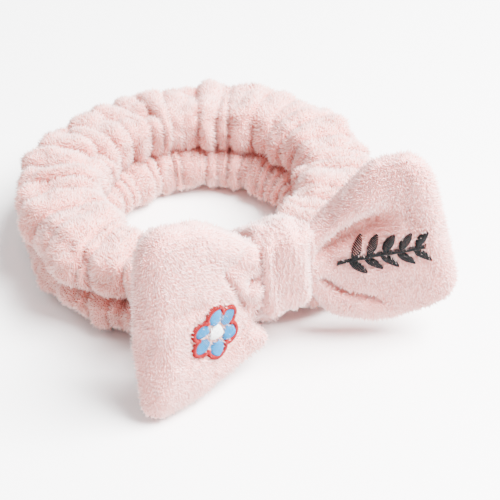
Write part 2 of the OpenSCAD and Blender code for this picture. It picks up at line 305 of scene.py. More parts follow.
def small_tucks(angle, across, upper):
    """Many small tucks that start at the seam and run out a little way up the puffs."""
    near, other, strength, _, _ = TUCKS[upper].read(angle, across)
    tuck = 1 - np.clip(2 * near / (near + other) / 0.7, 0, 1) ** 0.7
    reach = 0.12 + 0.10 * strength
    return tuck * strength * np.exp(-(np.minimum(across, 1 - across) / reach) ** 2)


def roll_skin(theta, upper):
    """One roll: offsets outwards, heights and how much painted shade each point gets."""
    across = ((np.arange(ROLL_STEPS) + 0.5) / ROLL_STEPS)[None, :]
    side = 1 if upper else -1
    width, height, middle, free = roll_size(theta, upper)
    turn = -START + (math.pi + 2 * START) * across
    out, z = roll_point(turn, width, height, middle, side)
    # inside the ring the upper roll draws back, so that the lower one shows under it
    out = np.where(out < 0, out * INNER_REACH[upper], out)

    angle, over = theta + 0 * across, across + 0 * theta
    near, other, strength, swelling, pinched = (UPPER if upper else LOWER).read(angle, over)
    share = np.clip(2 * near / (near + other), 0, 1)
    puff = (1 - (1 - share) ** 2.6) ** 0.62
    at_crease = np.abs(np.cos(across * math.pi)) ** 1.4
    depth = EDGE_DEPTH[upper] * at_crease + TOP_DEPTH[upper] * (1 - at_crease)
    sink = depth * strength * (1 - puff) * (0.35 + 0.65 * free)
    sink = sink + CROSS_DEPTH * pinched * free
    tuck = small_tucks(angle, over, upper)
    sink = sink + TUCK_DEPTH * tuck * free

    swell = (SWELL + SWELL_SPREAD * swelling) * puff * free
    c, s = np.cos(turn), np.sin(turn) * side
    out = out + (swell - sink) * c
    z = z + (swell - sink) * s * np.where(s * side > 0, 1.0, 0.8)
    # painted shade: a weight that darkens the colour in valleys, tucks, pinches and along the
    # seam's creases
    crease_shade = np.exp(-np.minimum(across, 1 - across) * 16)
    fold = (1 - puff) ** 1.3 * depth / FOLD_DEPTH_OF_FULL_SHADE + 0.5 * tuck + 0.5 * pinched + crease_shade
    fold = np.clip(fold, 0, 1)
    return (out, z, fold) if upper else (out[:, ::-1], z[:, ::-1], fold[:, ::-1])


# %% The whole tube
TABLE_GAP = 1.0 * MM


def lumps(points, size, seed):
    """A soft three-dimensional noise at each point, between about -1 and 1."""
    shift = Vector((seed * 7.3, seed * 3.1, seed * 5.7))
    flat = points.reshape(-1, 3)
    values = [bpy_noise.noise(Vector(p) / size + shift) for p in flat]
    return np.array(values).reshape(points.shape[:-1]) * 1.6


def cover_grid():
    """Points of the gathered tube round the ring, and the painted shade of their folds."""
    theta = np.linspace(0, 2 * math.pi, RINGS, endpoint=False)[:, None]
    skins = [roll_skin(theta, True), roll_skin(theta, False)]
    out, z, fold = (np.concatenate([skin[k] for skin in skins], axis=1) for k in range(3))
    normal = np.stack([np.cos(theta) / mid_x, np.sin(theta) / mid_y], -1)
    normal = normal / np.linalg.norm(normal, axis=-1, keepdims=True)
    x = mid_x * np.cos(theta) + out * normal[..., 0]
    y = mid_y * np.sin(theta) + out * normal[..., 1]
    points = np.stack([x, y, z], -1)
    lump = 1.6 * MM * lumps(points, 11 * MM, 1) + 0.6 * MM * lumps(points, 5 * MM, 2)
    # lumps fade out towards the seams, where the fleece is held
    faded = np.minimum(1, np.abs(out) / (9 * MM))
    x = x + lump * np.sign(out) * normal[..., 0] * faded
    y = y + lump * np.sign(out) * normal[..., 1] * faded
    z = z + lump * np.clip((z - waist_z) / (12 * MM), -0.6, 1)
    # the bow's back presses the front of the tube almost flat
    plane = pressed_y + PILE + 2 * MM
    y = np.where(y < plane, plane - (plane - y) * 0.25, y)
    z = np.maximum(z, TABLE_GAP)
    return np.stack([x, y + ring_y, z], -1), fold


grid, fold = cover_grid()
rings, sides = grid.shape[:2]
cover = mesh_object("band_cover", grid.reshape(-1, 3), tube_faces(rings, sides, True))
# the fold weight is painted shade, read by the fleece materials
store_weight(cover, "fold", fold.reshape(-1))
face_outwards(cover)
print("fleece tube:", len(cover.data.polygons) * 2, "triangles")

# %% [markdown]
# ## Fleece materials
# Coral fleece is matt and lets a little light through its pile. Shade is painted into its colour:
# each tuft is painted darker towards its root, folds and creases are painted a darker salmon, and
# a faint cloudiness lies over the cloth. The bow's fleece is knitted in fine rows, which run out
# from the pinch, and painted shade darkens its tufts between the rows.

# %% Material helpers
SHEEN_TINT = (1.0, 0.93, 0.91, 1)
LIGHT_REACH = (1.0, 0.45, 0.35)


def new_material(name, roughness, sheen=0.0, subsurface=0.0, specular=0.5):
    """A node material whose constant values sit on the shader's own sockets."""
    material = bpy.data.materials.new(name)
    material.use_nodes = True
    shader = material.node_tree.nodes["Principled BSDF"]
    shader.inputs["Roughness"].default_value = roughness
    shader.inputs["Sheen Weight"].default_value = sheen
    shader.inputs["Sheen Roughness"].default_value = 0.5
    shader.inputs["Sheen Tint"].default_value = SHEEN_TINT
    shader.inputs["Subsurface Weight"].default_value = subsurface
    shader.inputs["Subsurface Radius"].default_value = LIGHT_REACH
    shader.inputs["Subsurface Scale"].default_value = 2.5 * MM
    shader.inputs["Specular IOR Level"].default_value = specular
    return material, material.node_tree, shader


def add(tree, kind, **inputs):
    """Adds a node and sets its unlinked inputs by name."""
    made = tree.nodes.new(kind)
    for key, value in inputs.items():
        made.inputs[key.replace("_", " ")].default_value = value
    return made


def mix_colour(tree, factor, a, b):
    """A colour mix whose three inputs are sockets or plain values."""
    made = tree.nodes.new("ShaderNodeMix")
    made.data_type = "RGBA"
    for socket, value in ((made.inputs[0], factor), (made.inputs[6], a), (made.inputs[7], b)):
        if isinstance(value, bpy.types.NodeSocket):
            tree.links.new(value, socket)
        else:
            socket.default_value = value
    return made.outputs[2]

# %% Patterns and colours
def attribute(tree, name):
    """The number that the mesh keeps under a name."""
    made = tree.nodes.new("ShaderNodeAttribute")
    made.attribute_name = name
    return made.outputs["Fac"]


def noise(tree, scale, detail=2.0):
    """A noise pattern on the piece's own coordinates."""
    place = tree.nodes.new("ShaderNodeTexCoord")
    made = add(tree, "ShaderNodeTexNoise", Scale=scale, Detail=detail)
    tree.links.new(place.outputs["Object"], made.inputs["Vector"])
    return made.outputs["Fac"]


def srgb(r, g, b):
    """A linear colour from 8-bit display values."""
    def linear(v):
        v = v / 255
        return v / 12.92 if v <= 0.04045 else ((v + 0.055) / 1.055) ** 2.4
    return (linear(r), linear(g), linear(b), 1)


# %% Fleece
TIP = srgb(250, 208, 202)
# painted shade: the colour at the roots of the pile, and the darker colour painted into folds
SHADED_ROOT = srgb(224, 152, 142)
FOLD_SHADE = srgb(206, 100, 86)
BOW_TIP = srgb(254, 219, 217)
# painted shade for the bow: the colour at the roots of its pile, and the colour painted into its
# folds
BOW_SHADED_ROOT = srgb(226, 158, 151)
BOW_FOLD_SHADE = srgb(220, 142, 132)
ROW_PITCH = 2.2 * MM


def arithmetic(tree, operation, first, *others):
    """A maths node whose first input is a socket and whose others are plain values."""
    made = tree.nodes.new("ShaderNodeMath")
    made.operation = operation
    tree.links.new(first, made.inputs[0])
    for socket, value in zip(list(made.inputs)[1:], others):
        socket.default_value = value
    return made.outputs[0]


def row_wave(tree):
    """Fine rows along the cloth, between 0 and 1, from the row number kept on the mesh."""
    turns = arithmetic(tree, "MULTIPLY", attribute(tree, "row"), 2 * math.pi / ROW_PITCH)
    return arithmetic(tree, "MULTIPLY_ADD", arithmetic(tree, "SINE", turns), -0.5, 0.5)

# %% Fleece finishes
def fleece_material(name, tip, root, deep, rows=False):
    """Pile with painted shade: darker towards each tuft's root, in folds, and between rows."""
    material, tree, shader = new_material(name, 1.0, sheen=0.25, subsurface=0.25, specular=0.15)
    # painted shade: each tuft darkens from its tip down to its root
    up_the_tuft = arithmetic(tree, "POWER", attribute(tree, "tip"), 1.5)
    colour = mix_colour(tree, up_the_tuft, root, tip)
    if rows:
        # painted shade in the gaps between the rows
        row_gap_shade = mix_colour(tree, 0.80, colour, root)
        colour = mix_colour(tree, row_wave(tree), colour, row_gap_shade)
    # painted shade in folds and creases, by the fold weight and the deep colour
    in_fold_shade = mix_colour(tree, 0.70, colour, deep)
    colour = mix_colour(tree, attribute(tree, "fold"), colour, in_fold_shade)
    in_cloud = mix_colour(tree, 0.10, colour, deep)
    colour = mix_colour(tree, noise(tree, 90.0), in_cloud, colour)
    tree.links.new(colour, shader.inputs["Base Color"])
    return material


pile_finish = fleece_material("coral_fleece_pile", TIP, SHADED_ROOT, FOLD_SHADE)
# the cloth under the band's pile is painted all in the roots' shade, with painted shade in its
# folds
ground_finish = fleece_material("coral_fleece_ground", SHADED_ROOT, SHADED_ROOT, FOLD_SHADE)
bow_finish = fleece_material("bow_fleece_pile", BOW_TIP, BOW_SHADED_ROOT, BOW_FOLD_SHADE, rows=True)
# the bow's cloth under its pile is painted the same way, in the roots' shade
bow_ground = fleece_material("bow_fleece_ground", BOW_SHADED_ROOT, BOW_SHADED_ROOT, BOW_FOLD_SHADE)
print("finishes:", [made.name for made in (pile_finish, ground_finish, bow_finish, bow_ground)])

# %% [markdown]
# ## Pile
# The pile is made of real tufts. A Geometry Nodes tree scatters points over a surface no
# closer than a spacing, stands a small cone on each, leans the cones the way a hand has
# brushed them, and makes the result real. Each cone has only a few faces.

# %% Geometry Nodes helpers
def set_input(tree, modifier, name, value):
    """Sets a modifier's input by its socket's identifier."""
    for item in tree.interface.items_tree:
        if item.item_type == "SOCKET" and item.in_out == "INPUT" and item.name == name:
            modifier[item.identifier] = value


def node_maker(tree):
    """Three short functions for a tree: add a node, link two sockets, and do arithmetic."""
    def make(kind, **values):
        made = tree.nodes.new(kind)
        for key, value in values.items():
            setattr(made, key, value)
        return made

    def link(a, b):
        tree.links.new(a, b)

    def maths(operation, *values):
        made = make("ShaderNodeMath", operation=operation)
        for socket, value in zip(made.inputs, values):
            if isinstance(value, bpy.types.NodeSocket):
                link(value, socket)
            else:
                socket.default_value = value
        return made.outputs[0]
    return make, link, maths

# %% Run a tree on a mesh
ABOVE_TABLE = 0.1 * MM


def grown(source, tree, name, **values):
    """Runs a tree on a source mesh and returns the result as a plain mesh object."""
    carrier = bpy.data.objects.new(name + "_carrier", source.data.copy())
    bpy.context.scene.collection.objects.link(carrier)
    modifier = carrier.modifiers.new(name, "NODES")
    modifier.node_group = tree
    for key, value in values.items():
        set_input(tree, modifier, key.replace("_", " "), value)
    graph = bpy.context.evaluated_depsgraph_get()
    mesh = bpy.data.meshes.new_from_object(carrier.evaluated_get(graph), depsgraph=graph)
    mesh.name = name
    bpy.data.objects.remove(carrier)
    # nothing reaches through the surface that the band lies on
    places = np.zeros(len(mesh.vertices) * 3, dtype=np.float32)
    mesh.vertices.foreach_get("co", places)
    places[2::3] = np.maximum(places[2::3], ABOVE_TABLE)
    mesh.vertices.foreach_set("co", places)
    piece = bpy.data.objects.new(name, mesh)
    bpy.context.scene.collection.objects.link(piece)
    return piece


# %% One tuft
def tuft_mesh(make, link):
    """A thin three-sided cone, which keeps its height as "tip"."""
    cone = make("GeometryNodeMeshCone", fill_type="NONE")
    for name, value in (("Vertices", 3), ("Side Segments", 1), ("Radius Top", 0.0),
                        ("Radius Bottom", 0.5), ("Depth", 1.0)):
        cone.inputs[name].default_value = value
    place = make("GeometryNodeInputPosition")
    split = make("ShaderNodeSeparateXYZ")
    link(place.outputs[0], split.inputs[0])
    marked = make("GeometryNodeStoreNamedAttribute", data_type="FLOAT", domain="POINT")
    marked.inputs["Name"].default_value = "tip"
    link(cone.outputs["Mesh"], marked.inputs["Geometry"])
    link(split.outputs["Z"], marked.inputs["Value"])
    return marked.outputs[0]


# %% Which way a tuft stands
DRIFT_SCALE = 260.0
DRIFT_GAIN = 4.0
CHANCE = 0.45


def tuft_turn(make, link, maths, given, normal):
    """The cloth's own normal, plus a slow drift, plus a little chance, and any turn about it."""
    def vector(operation, a, b):
        made = make("ShaderNodeVectorMath", operation=operation)
        for socket, value in ((made.inputs[0], a), (made.inputs[1], b)):
            if isinstance(value, bpy.types.NodeSocket):
                link(value, socket)
            else:
                socket.default_value = value
        return made

    drift = make("ShaderNodeTexNoise", noise_dimensions="3D")
    drift.inputs["Scale"].default_value = DRIFT_SCALE
    drift.inputs["Detail"].default_value = 1.0
    centred = vector("SUBTRACT", drift.outputs["Color"], (0.5, 0.5, 0.5))
    lean = make("ShaderNodeVectorMath", operation="SCALE")
    link(centred.outputs[0], lean.inputs[0])
    link(maths("MULTIPLY", given.outputs["Lean"], DRIFT_GAIN), lean.inputs["Scale"])
    chance = make("FunctionNodeRandomValue", data_type="FLOAT_VECTOR")
    chance.inputs[0].default_value = (-CHANCE, -CHANCE, -CHANCE)
    chance.inputs[1].default_value = (CHANCE, CHANCE, CHANCE)
    link(given.outputs["Seed"], chance.inputs["Seed"])
    leaning = vector("ADD", normal, lean.outputs[0])
    way = vector("ADD", leaning.outputs[0], chance.outputs[0])
    turn = make("FunctionNodeAlignRotationToVector", axis="Z")
    link(way.outputs[0], turn.inputs["Vector"])

    spin = make("FunctionNodeRandomValue", data_type="FLOAT")
    spin.inputs[2].default_value = 0.0
    spin.inputs[3].default_value = 6.28
    spin_axis = make("ShaderNodeCombineXYZ")
    link(spin.outputs[1], spin_axis.inputs["Z"])
    spin_turn = make("FunctionNodeEulerToRotation")
    link(spin_axis.outputs[0], spin_turn.inputs[0])
    both = make("FunctionNodeRotateRotation", rotation_space="LOCAL")
    link(turn.outputs[0], both.inputs[0])
    link(spin_turn.outputs[0], both.inputs[1])
    return both.outputs[0]


# %% How big a tuft is
SHORTEST, LONGEST = 0.7, 1.3
ROW_GAIN, ROW_MEAN = 0.42, 0.85


def tuft_size(make, link, maths, given):
    """Its width and its length: chance, and rows of longer tufts where the cloth has rows."""
    grow = make("FunctionNodeRandomValue", data_type="FLOAT")
    grow.inputs[2].default_value = SHORTEST
    grow.inputs[3].default_value = LONGEST
    where = make("GeometryNodeInputNamedAttribute", data_type="FLOAT")
    where.inputs["Name"].default_value = "row"
    rows = maths("DIVIDE", where.outputs["Attribute"], given.outputs["Row Pitch"])
    wave = maths("SINE", maths("MULTIPLY", rows, 2 * math.pi))
    share = maths("MULTIPLY_ADD", wave, ROW_GAIN, ROW_MEAN)
    length = maths("MULTIPLY", maths("MULTIPLY", given.outputs["Length"], grow.outputs[1]), share)
    size = make("ShaderNodeCombineXYZ")
    link(given.outputs["Width"], size.inputs["X"])
    link(given.outputs["Width"], size.inputs["Y"])
    link(length, size.inputs["Z"])
    return size.outputs[0]


# %% Pile tree
PILE_INPUTS = (("Spacing", 0.5 * MM), ("Length", 2.7 * MM), ("Width", 0.7 * MM), ("Lean", 0.4),
               ("Row Pitch", 1.0))
MOST_PER_M2 = 3e6


def build_pile_tree(finish):
    """A tree that covers any mesh with tufts of one finish."""
    tree = bpy.data.node_groups.new("pile", "GeometryNodeTree")
    make, link, maths = node_maker(tree)
    face = tree.interface
    face.new_socket("Geometry", in_out="INPUT", socket_type="NodeSocketGeometry")
    for name, value in PILE_INPUTS:
        socket = face.new_socket(name, in_out="INPUT", socket_type="NodeSocketFloat")
        socket.default_value = value
    face.new_socket("Seed", in_out="INPUT", socket_type="NodeSocketInt").default_value = 1
    face.new_socket("Geometry", in_out="OUTPUT", socket_type="NodeSocketGeometry")
    given = make("NodeGroupInput")
    out = make("NodeGroupOutput")

    scatter = make("GeometryNodeDistributePointsOnFaces", distribute_method="POISSON")
    link(given.outputs["Geometry"], scatter.inputs["Mesh"])
    link(given.outputs["Spacing"], scatter.inputs["Distance Min"])
    link(given.outputs["Seed"], scatter.inputs["Seed"])
    scatter.inputs["Density Max"].default_value = MOST_PER_M2

    stand = make("GeometryNodeInstanceOnPoints")
    link(scatter.outputs["Points"], stand.inputs["Points"])
    link(tuft_mesh(make, link), stand.inputs["Instance"])
    link(tuft_turn(make, link, maths, given, scatter.outputs["Normal"]), stand.inputs["Rotation"])
    link(tuft_size(make, link, maths, given), stand.inputs["Scale"])
    real = make("GeometryNodeRealizeInstances")
    link(stand.outputs[0], real.inputs[0])
    smooth = make("GeometryNodeSetShadeSmooth")
    link(real.outputs[0], smooth.inputs[0])
    dressed = make("GeometryNodeSetMaterial")
    dressed.inputs["Material"].default_value = finish
    link(smooth.outputs[0], dressed.inputs[0])
    link(dressed.outputs[0], out.inputs[0])
    return tree


band_pile_tree = build_pile_tree(pile_finish)
bow_pile_tree = build_pile_tree(bow_finish)
print("each pile tree has", len(band_pile_tree.nodes), "nodes")

# %% Grow the band's pile
def faces_where(piece, test, name):
    """A copy of a piece with only the faces whose middle passes a test."""
    work = bmesh.new()
    work.from_mesh(piece.data)
    gone = [f for f in work.faces if not test(f.calc_center_median())]
    bmesh.ops.delete(work, geom=gone, context="FACES")
    mesh = bpy.data.meshes.new(name)
    work.to_mesh(mesh)
    work.free()
    part = bpy.data.objects.new(name, mesh)
    bpy.context.scene.collection.objects.link(part)
    return part


def triangles(piece):
    """How many triangles a piece has."""
    piece.data.calc_loop_triangles()
    return len(piece.data.loop_triangles)


# a piece has to stay under 200,000 triangles, so the pile is grown in four fields
cover.data.materials.append(ground_finish)
pile_fields = {
    "upper_pile_left": lambda c: c.z >= waist_z and c.x < 0,
    "upper_pile_right": lambda c: c.z >= waist_z and c.x >= 0,
    "lower_pile_left": lambda c: c.z < waist_z and c.x < 0,
    "lower_pile_right": lambda c: c.z < waist_z and c.x >= 0,
}
piles = []
for number, (name, test) in enumerate(pile_fields.items()):
    field = faces_where(cover, test, name + "_field")
    pile = grown(field, band_pile_tree, name, Spacing=0.50 * MM, Length=2.7 * MM,
                 Width=0.72 * MM, Lean=0.42, Seed=number + 1)
    bpy.data.objects.remove(field)
    piles.append(pile)
    print(name, triangles(pile), "triangles")

# %% [markdown]
# ## The bow's loops
# The bow is one sewn pouch of two layers, pinched in its middle. Each half opens from the wrap
# like a fan, and soft folds run out from the pinch. A loop is a grid too: stations along it,
# each with a rounded flat section, then folds are pressed into it as lines of a given width.

# %% Sizes of the loops
LOOP_T = 17 * MM
ROOT_TOP, ROOT_LOW = 24 * MM, -34 * MM
PINCH_TOP, PINCH_LOW = 14 * MM, -14 * MM
BELLY_OUT, BELLY_H, BELLY_DROP = 22 * MM, 86 * MM, 2 * MM
LOOPS = {
    "left": dict(side=-1, yaw=math.radians(13), reach=53 * MM, end_h=94 * MM, rise=0.0,
                 lean=math.radians(4), top_corner=15 * MM, low_corner=8 * MM),
    "right": dict(side=1, yaw=math.radians(27), reach=52 * MM, end_h=82 * MM, rise=12.5 * MM,
                  lean=math.radians(15), top_corner=12 * MM, low_corner=17 * MM),
}
HINGE_X, HINGE_Y, LOOP_Z = joints["bow_right_swing"]["pos_m"]
INSIDE = 16 * MM                    # how far a loop reaches in under the wrap
STATIONS, ROUND = 110, 170          # steps along a loop and round its section
SKIN = 0.8 * MM                     # room left for the pile
print("loops reach", [round(loop["reach"] * 1000) for loop in LOOPS.values()], "mm out")


# %% Folds pressed into a loop
def line_fold(along, height, start, end, width, depth):
    """Depth of a soft fold that runs from start to end and fades out past it."""
    a, b = np.array(start) * MM, np.array(end) * MM
    length = np.linalg.norm(b - a)
    direction = (b - a) / length
    du, dv = along - a[0], height - a[1]
    s = (du * direction[0] + dv * direction[1]) / length
    off = dv * direction[0] - du * direction[1]
    fade = smoothstep(-0.2, 0.12, s) * (1 - smoothstep(0.55, 1.15, s))
    wide = width * MM * (0.7 + 0.6 * np.clip(s, 0, 1))
    return depth * MM * fade * np.exp(-np.abs(off / wide) ** 1.8)


# start and end as distance out and height from the loop's middle line, in mm, then width and
# depth; a negative depth is a ridge
FRONT_FOLDS = {
    "left": [((12, 13), (-4, -17), 2.4, 3.6), ((-7, 3), (1, 0), 2.6, 4.2),
             ((-8, -5), (10, 6), 4.6, -3.4), ((-4, 18), (12, 14), 4.0, 2.2),
             ((-6, -18), (26, -34), 4.0, 2.2), ((26, 4), (50, 9), 5.0, 1.3),
             ((20, -22), (46, -16), 6.0, 1.0), ((-6, 12), (24, 36), 5.0, -1.6)],
    "right": [((-6, 3), (33, 28), 5.6, 9.0), ((-8, 16), (34, 42), 5.0, -3.0),
              ((-9, 0), (20, 9), 2.6, -3.0), ((-8, 5), (16, 15), 1.8, 2.0),
              ((-6, -9), (7, -19), 2.2, 3.8), ((5, -18), (24, -24), 2.6, 3.4),
              ((-8, -4), (28, -6), 5.0, -1.6), ((-6, -20), (30, -34), 5.0, -1.6),
              ((38, 30), (44, -20), 6.0, 1.2)],
}
BACK_FOLDS = [((-8, 8), (36, 24), 5.0, 3.2), ((-8, -4), (38, -8), 4.0, 2.4),
              ((-8, -14), (30, -32), 5.0, 3.0), ((-8, 2), (26, 6), 4.0, -2.0)]


# %% Outline and section of a loop
def arc_end(u, reach, corner):
    """How far an edge has turned in towards the middle, where its corner is round."""
    past = np.clip((u - (reach - corner)) / corner, 0, 0.999)
    return corner * (1 - np.sqrt(1 - past ** 2))


def edges(loop, u):
    """Lowest and highest line of a loop at a distance out from its fold."""
    end_out = loop["reach"] - LOOP_T / 2
    belly_z = loop["rise"] * BELLY_OUT / end_out - BELLY_DROP
    belly_top, belly_low = belly_z + BELLY_H / 2, belly_z - BELLY_H / 2
    end_top, end_low = loop["rise"] + loop["end_h"] / 2, loop["rise"] - loop["end_h"] / 2
    stops = [-INSIDE, -8 * MM, 0, BELLY_OUT / 2, BELLY_OUT, end_out, loop["reach"]]
    top = [PINCH_TOP, PINCH_TOP + 2 * MM, ROOT_TOP, 0.45 * ROOT_TOP + 0.55 * belly_top,
           belly_top, end_top, end_top]
    low = [PINCH_LOW, PINCH_LOW - 3 * MM, ROOT_LOW, 0.4 * ROOT_LOW + 0.6 * belly_low,
           belly_low, end_low, end_low]
    blur = np.linspace(-4 * MM, 4 * MM, 9)
    high = sum(np.interp(u + d, stops, top) for d in blur) / len(blur)
    deep = sum(np.interp(u + d, stops, low) for d in blur) / len(blur)
    return deep + arc_end(u, loop["reach"], loop["low_corner"]), \
        high - arc_end(u, loop["reach"], loop["top_corner"])


def section_shares():
    """Evenly spaced points round a flat pillow's section, as shares of its height and thickness."""
    psi = np.linspace(0, 2 * math.pi, 4000)
    c, s = np.cos(psi), np.sin(psi)
    v = np.sign(c) * np.abs(c) ** 0.5
    n = np.sign(s) * np.abs(s) ** 0.62
    walked = np.concatenate([[0], np.cumsum(np.hypot(np.diff(v) * 45, np.diff(n) * 8.5))])
    at = np.linspace(0, walked[-1], ROUND, endpoint=False)
    return np.interp(at, walked, v), np.interp(at, walked, n)


def middle_line(loop, u):
    """The loop's middle line on plan, which turns from the wrap's direction into its yaw."""
    fine = np.linspace(-INSIDE - 20 * MM, loop["reach"] + 5 * MM, 600)
    heading = loop["yaw"] * smoothstep(-6 * MM, 8 * MM, fine)
    step = fine[1] - fine[0]
    x = np.cumsum(np.cos(heading)) * step
    y = np.cumsum(-np.sin(heading)) * step
    x = x - np.interp(0, fine, x)
    y = y - np.interp(0, fine, y)
    return np.interp(u, fine, x), np.interp(u, fine, y), np.interp(u, fine, heading)


# %% Folds and places of a loop's points
PINCH_T = 11 * MM
FULL_FROM = 18 * MM
END_EASE = 9 * MM
LEAST = 1.0 * MM
# a fold pressed in this deep gets the full painted shade
PRESS_OF_FULL_SHADE = 4 * MM
WOBBLE = 0.7 * MM
STANDS_FORWARD = 6 * MM
TUCKED_IN = 13 * MM
LOWEST = 1.2 * MM


def with_folds(name, n, u, v, share_n, shut):
    """Presses a loop's folds into its two layers, and keeps the layers apart."""
    inner = np.abs(share_n) ** 0.5 * shut
    front = share_n < 0
    pressed = 0 * u
    for start, end, width, depth in FRONT_FOLDS[name]:
        pressed = pressed + np.where(front, line_fold(u, v, start, end, width, depth), 0)
    n = n + pressed * inner
    for start, end, width, depth in BACK_FOLDS:
        n = n - np.where(front, 0, line_fold(u, v, start, end, width, depth)) * inner
    n = np.where(front, np.minimum(n, -LEAST * shut), np.maximum(n, LEAST * shut))
    return n, pressed


def placed(loop, u, v, n):
    """Turns distances out along a loop, up it and through it into points of the frame."""
    x, y, heading = middle_line(loop, u)
    grow = np.clip(u / (loop["reach"] - LOOP_T / 2), 0, 1)
    lean = loop["lean"] * grow
    off = v - loop["rise"] * grow
    px = x + n * np.sin(heading) - off * np.sin(lean) * np.cos(heading)
    py = y + n * np.cos(heading) + off * np.sin(lean) * np.sin(heading)
    pz = loop["rise"] * grow + off * np.cos(lean)
    pz = np.maximum(pz, LOWEST - LOOP_Z)
    return np.stack([loop["side"] * (HINGE_X + px), HINGE_Y + py, LOOP_Z + pz], -1)


# %% One loop
def loop_grid(name):
    """A loop's points, the painted shade of its pressed folds, and its row on the cloth."""
    loop = LOOPS[name]
    t = np.linspace(0, 1, STATIONS)
    along = -INSIDE + (loop["reach"] + INSIDE) * (1 - (1 - t) ** 1.3)
    share_v, share_n = (share[None, :] for share in section_shares())
    u = along[:, None] + 0 * share_v
    low, high = edges(loop, u)
    v = (low + high) / 2 + (high - low) / 2 * share_v
    thick = PINCH_T + (LOOP_T - 2 * SKIN - PINCH_T) * smoothstep(-INSIDE, FULL_FROM, u)
    closing = np.clip((u - (loop["reach"] - END_EASE)) / END_EASE, 0, 1)
    shut = np.sqrt(np.clip(1 - closing ** 2, 0.02, 1))
    n, pressed = with_folds(name, thick / 2 * shut * share_n, u, v, share_n, shut)
    wobble = np.sin(u / (8 * MM) + 1.0) * np.sin(v / (12 * MM) + loop["side"])
    n = n + WOBBLE * wobble * smoothstep(0, 15 * MM, u)
    if name == "left":
        # the lower part stands forward, and its inner corner tucks in under the wrap
        forward = smoothstep(-6 * MM, -40 * MM, v)
        n = n - STANDS_FORWARD * forward * smoothstep(-10 * MM, 0, u)
        tuck = smoothstep(-22 * MM, -34 * MM, v) * (1 - smoothstep(-4 * MM, 24 * MM, u))
        u = u - TUCKED_IN * tuck * smoothstep(-12 * MM, -2 * MM, u)
    rows = share_v * BELLY_H / 2 + 0 * u
    # painted shade: the deeper a fold is pressed in, the darker its colour
    return placed(loop, u, v, n), np.clip(pressed / PRESS_OF_FULL_SHADE, 0, 1), rows


def loop_object(name):
    """A loop as a closed mesh, with the painted shade of its folds kept as a weight."""
    grid, fold, rows = loop_grid(name)
    faces = tube_faces(STATIONS, ROUND, False)
    for row in (0, (STATIONS - 1) * ROUND):
        # the front and the back layer are joined straight across at either end
        for j in range(ROUND // 2):
            ring = (row + j, row + j + 1, row + (ROUND - j - 1) % ROUND, row + (ROUND - j) % ROUND)
            faces.append(tuple(dict.fromkeys(ring)))
    piece = mesh_object("bow_" + name + "_loop_cloth", grid.reshape(-1, 3), faces)
    store_weight(piece, "fold", fold.reshape(-1))
    store_weight(piece, "row", rows.reshape(-1))
    face_outwards(piece)
    return piece


# %% [markdown]
# ## A breath of air
# A sewn pouch of fleece never keeps a drawn shape: the air and the loft inside push it out
# wherever the cloth lets them. A short cloth simulation gives that. It runs on a coarse copy,
# with the pinched root held, and the fine mesh then takes over how far the coarse one moved, so
# that the small folds stay.

# %% Cloth pass
VOXEL = 3.2 * MM
FRAMES = 20
CAP = 3.0 * MM
PRESSURE = 3.0
CLOTH = dict(quality=6, mass=0.05, use_pressure=True, uniform_pressure_force=PRESSURE,
             tension_stiffness=12, compression_stiffness=12, shear_stiffness=4,
             bending_stiffness=0.1, vertex_group_mass="pins")


def simulated(rest, held):
    """How far each point of a rest mesh moves when pressure fills it for a moment."""
    scene = bpy.context.scene
    body = bpy.data.objects.new("cloth_pass", rest.copy())
    scene.collection.objects.link(body)
    pins = body.vertex_groups.new(name="pins")
    for vertex in rest.vertices:
        pins.add([vertex.index], held(vertex.co), "REPLACE")
    cloth = body.modifiers.new("cloth", "CLOTH")
    for key, value in CLOTH.items():
        setattr(cloth.settings, key, value)
    cloth.settings.effector_weights.gravity = 0
    cloth.point_cache.frame_start = 1
    cloth.point_cache.frame_end = FRAMES
    for frame_number in range(1, FRAMES + 1):
        scene.frame_set(frame_number)
    after = body.evaluated_get(bpy.context.evaluated_depsgraph_get())
    moves = [b.co - a.co for a, b in zip(rest.vertices, after.data.vertices)]
    scene.frame_set(1)
    bpy.data.objects.remove(body)
    return [m * min(1.0, CAP / m.length) if m.length > 0 else m for m in moves]

# %% Pass the movement on to the fine mesh
def filled(piece, held):
    """Moves a piece's points as a coarse copy of it moves in the cloth simulation."""
    coarse = bpy.data.objects.new("coarse", piece.data.copy())
    bpy.context.scene.collection.objects.link(coarse)
    remesh = coarse.modifiers.new("remesh", "REMESH")
    remesh.mode = "VOXEL"
    remesh.voxel_size = VOXEL
    graph = bpy.context.evaluated_depsgraph_get()
    rest = bpy.data.meshes.new_from_object(coarse.evaluated_get(graph), depsgraph=graph)
    bpy.data.objects.remove(coarse)
    moves = simulated(rest, held)
    rest.calc_loop_triangles()
    corners = [tuple(t.vertices) for t in rest.loop_triangles]
    tree = BVHTree.FromPolygons([v.co for v in rest.vertices], corners)
    furthest = 0
    for vertex in piece.data.vertices:
        near, _, index, _ = tree.find_nearest(vertex.co)
        before = [rest.vertices[k].co for k in corners[index]]
        after = [rest.vertices[k].co + moves[k] for k in corners[index]]
        move = barycentric_transform(near, *before, *after) - near
        vertex.co += move
        furthest = max(furthest, move.length)
    piece.data.update()
    print(piece.name, "moved by up to", round(furthest * 1000, 2), "mm over", len(rest.vertices))


def held_at_root(point):
    """1 within the wrap and just outside it, easing to 0 further out."""
    return 1 - float(smoothstep(HINGE_X, HINGE_X + 12 * MM, abs(point.x)))


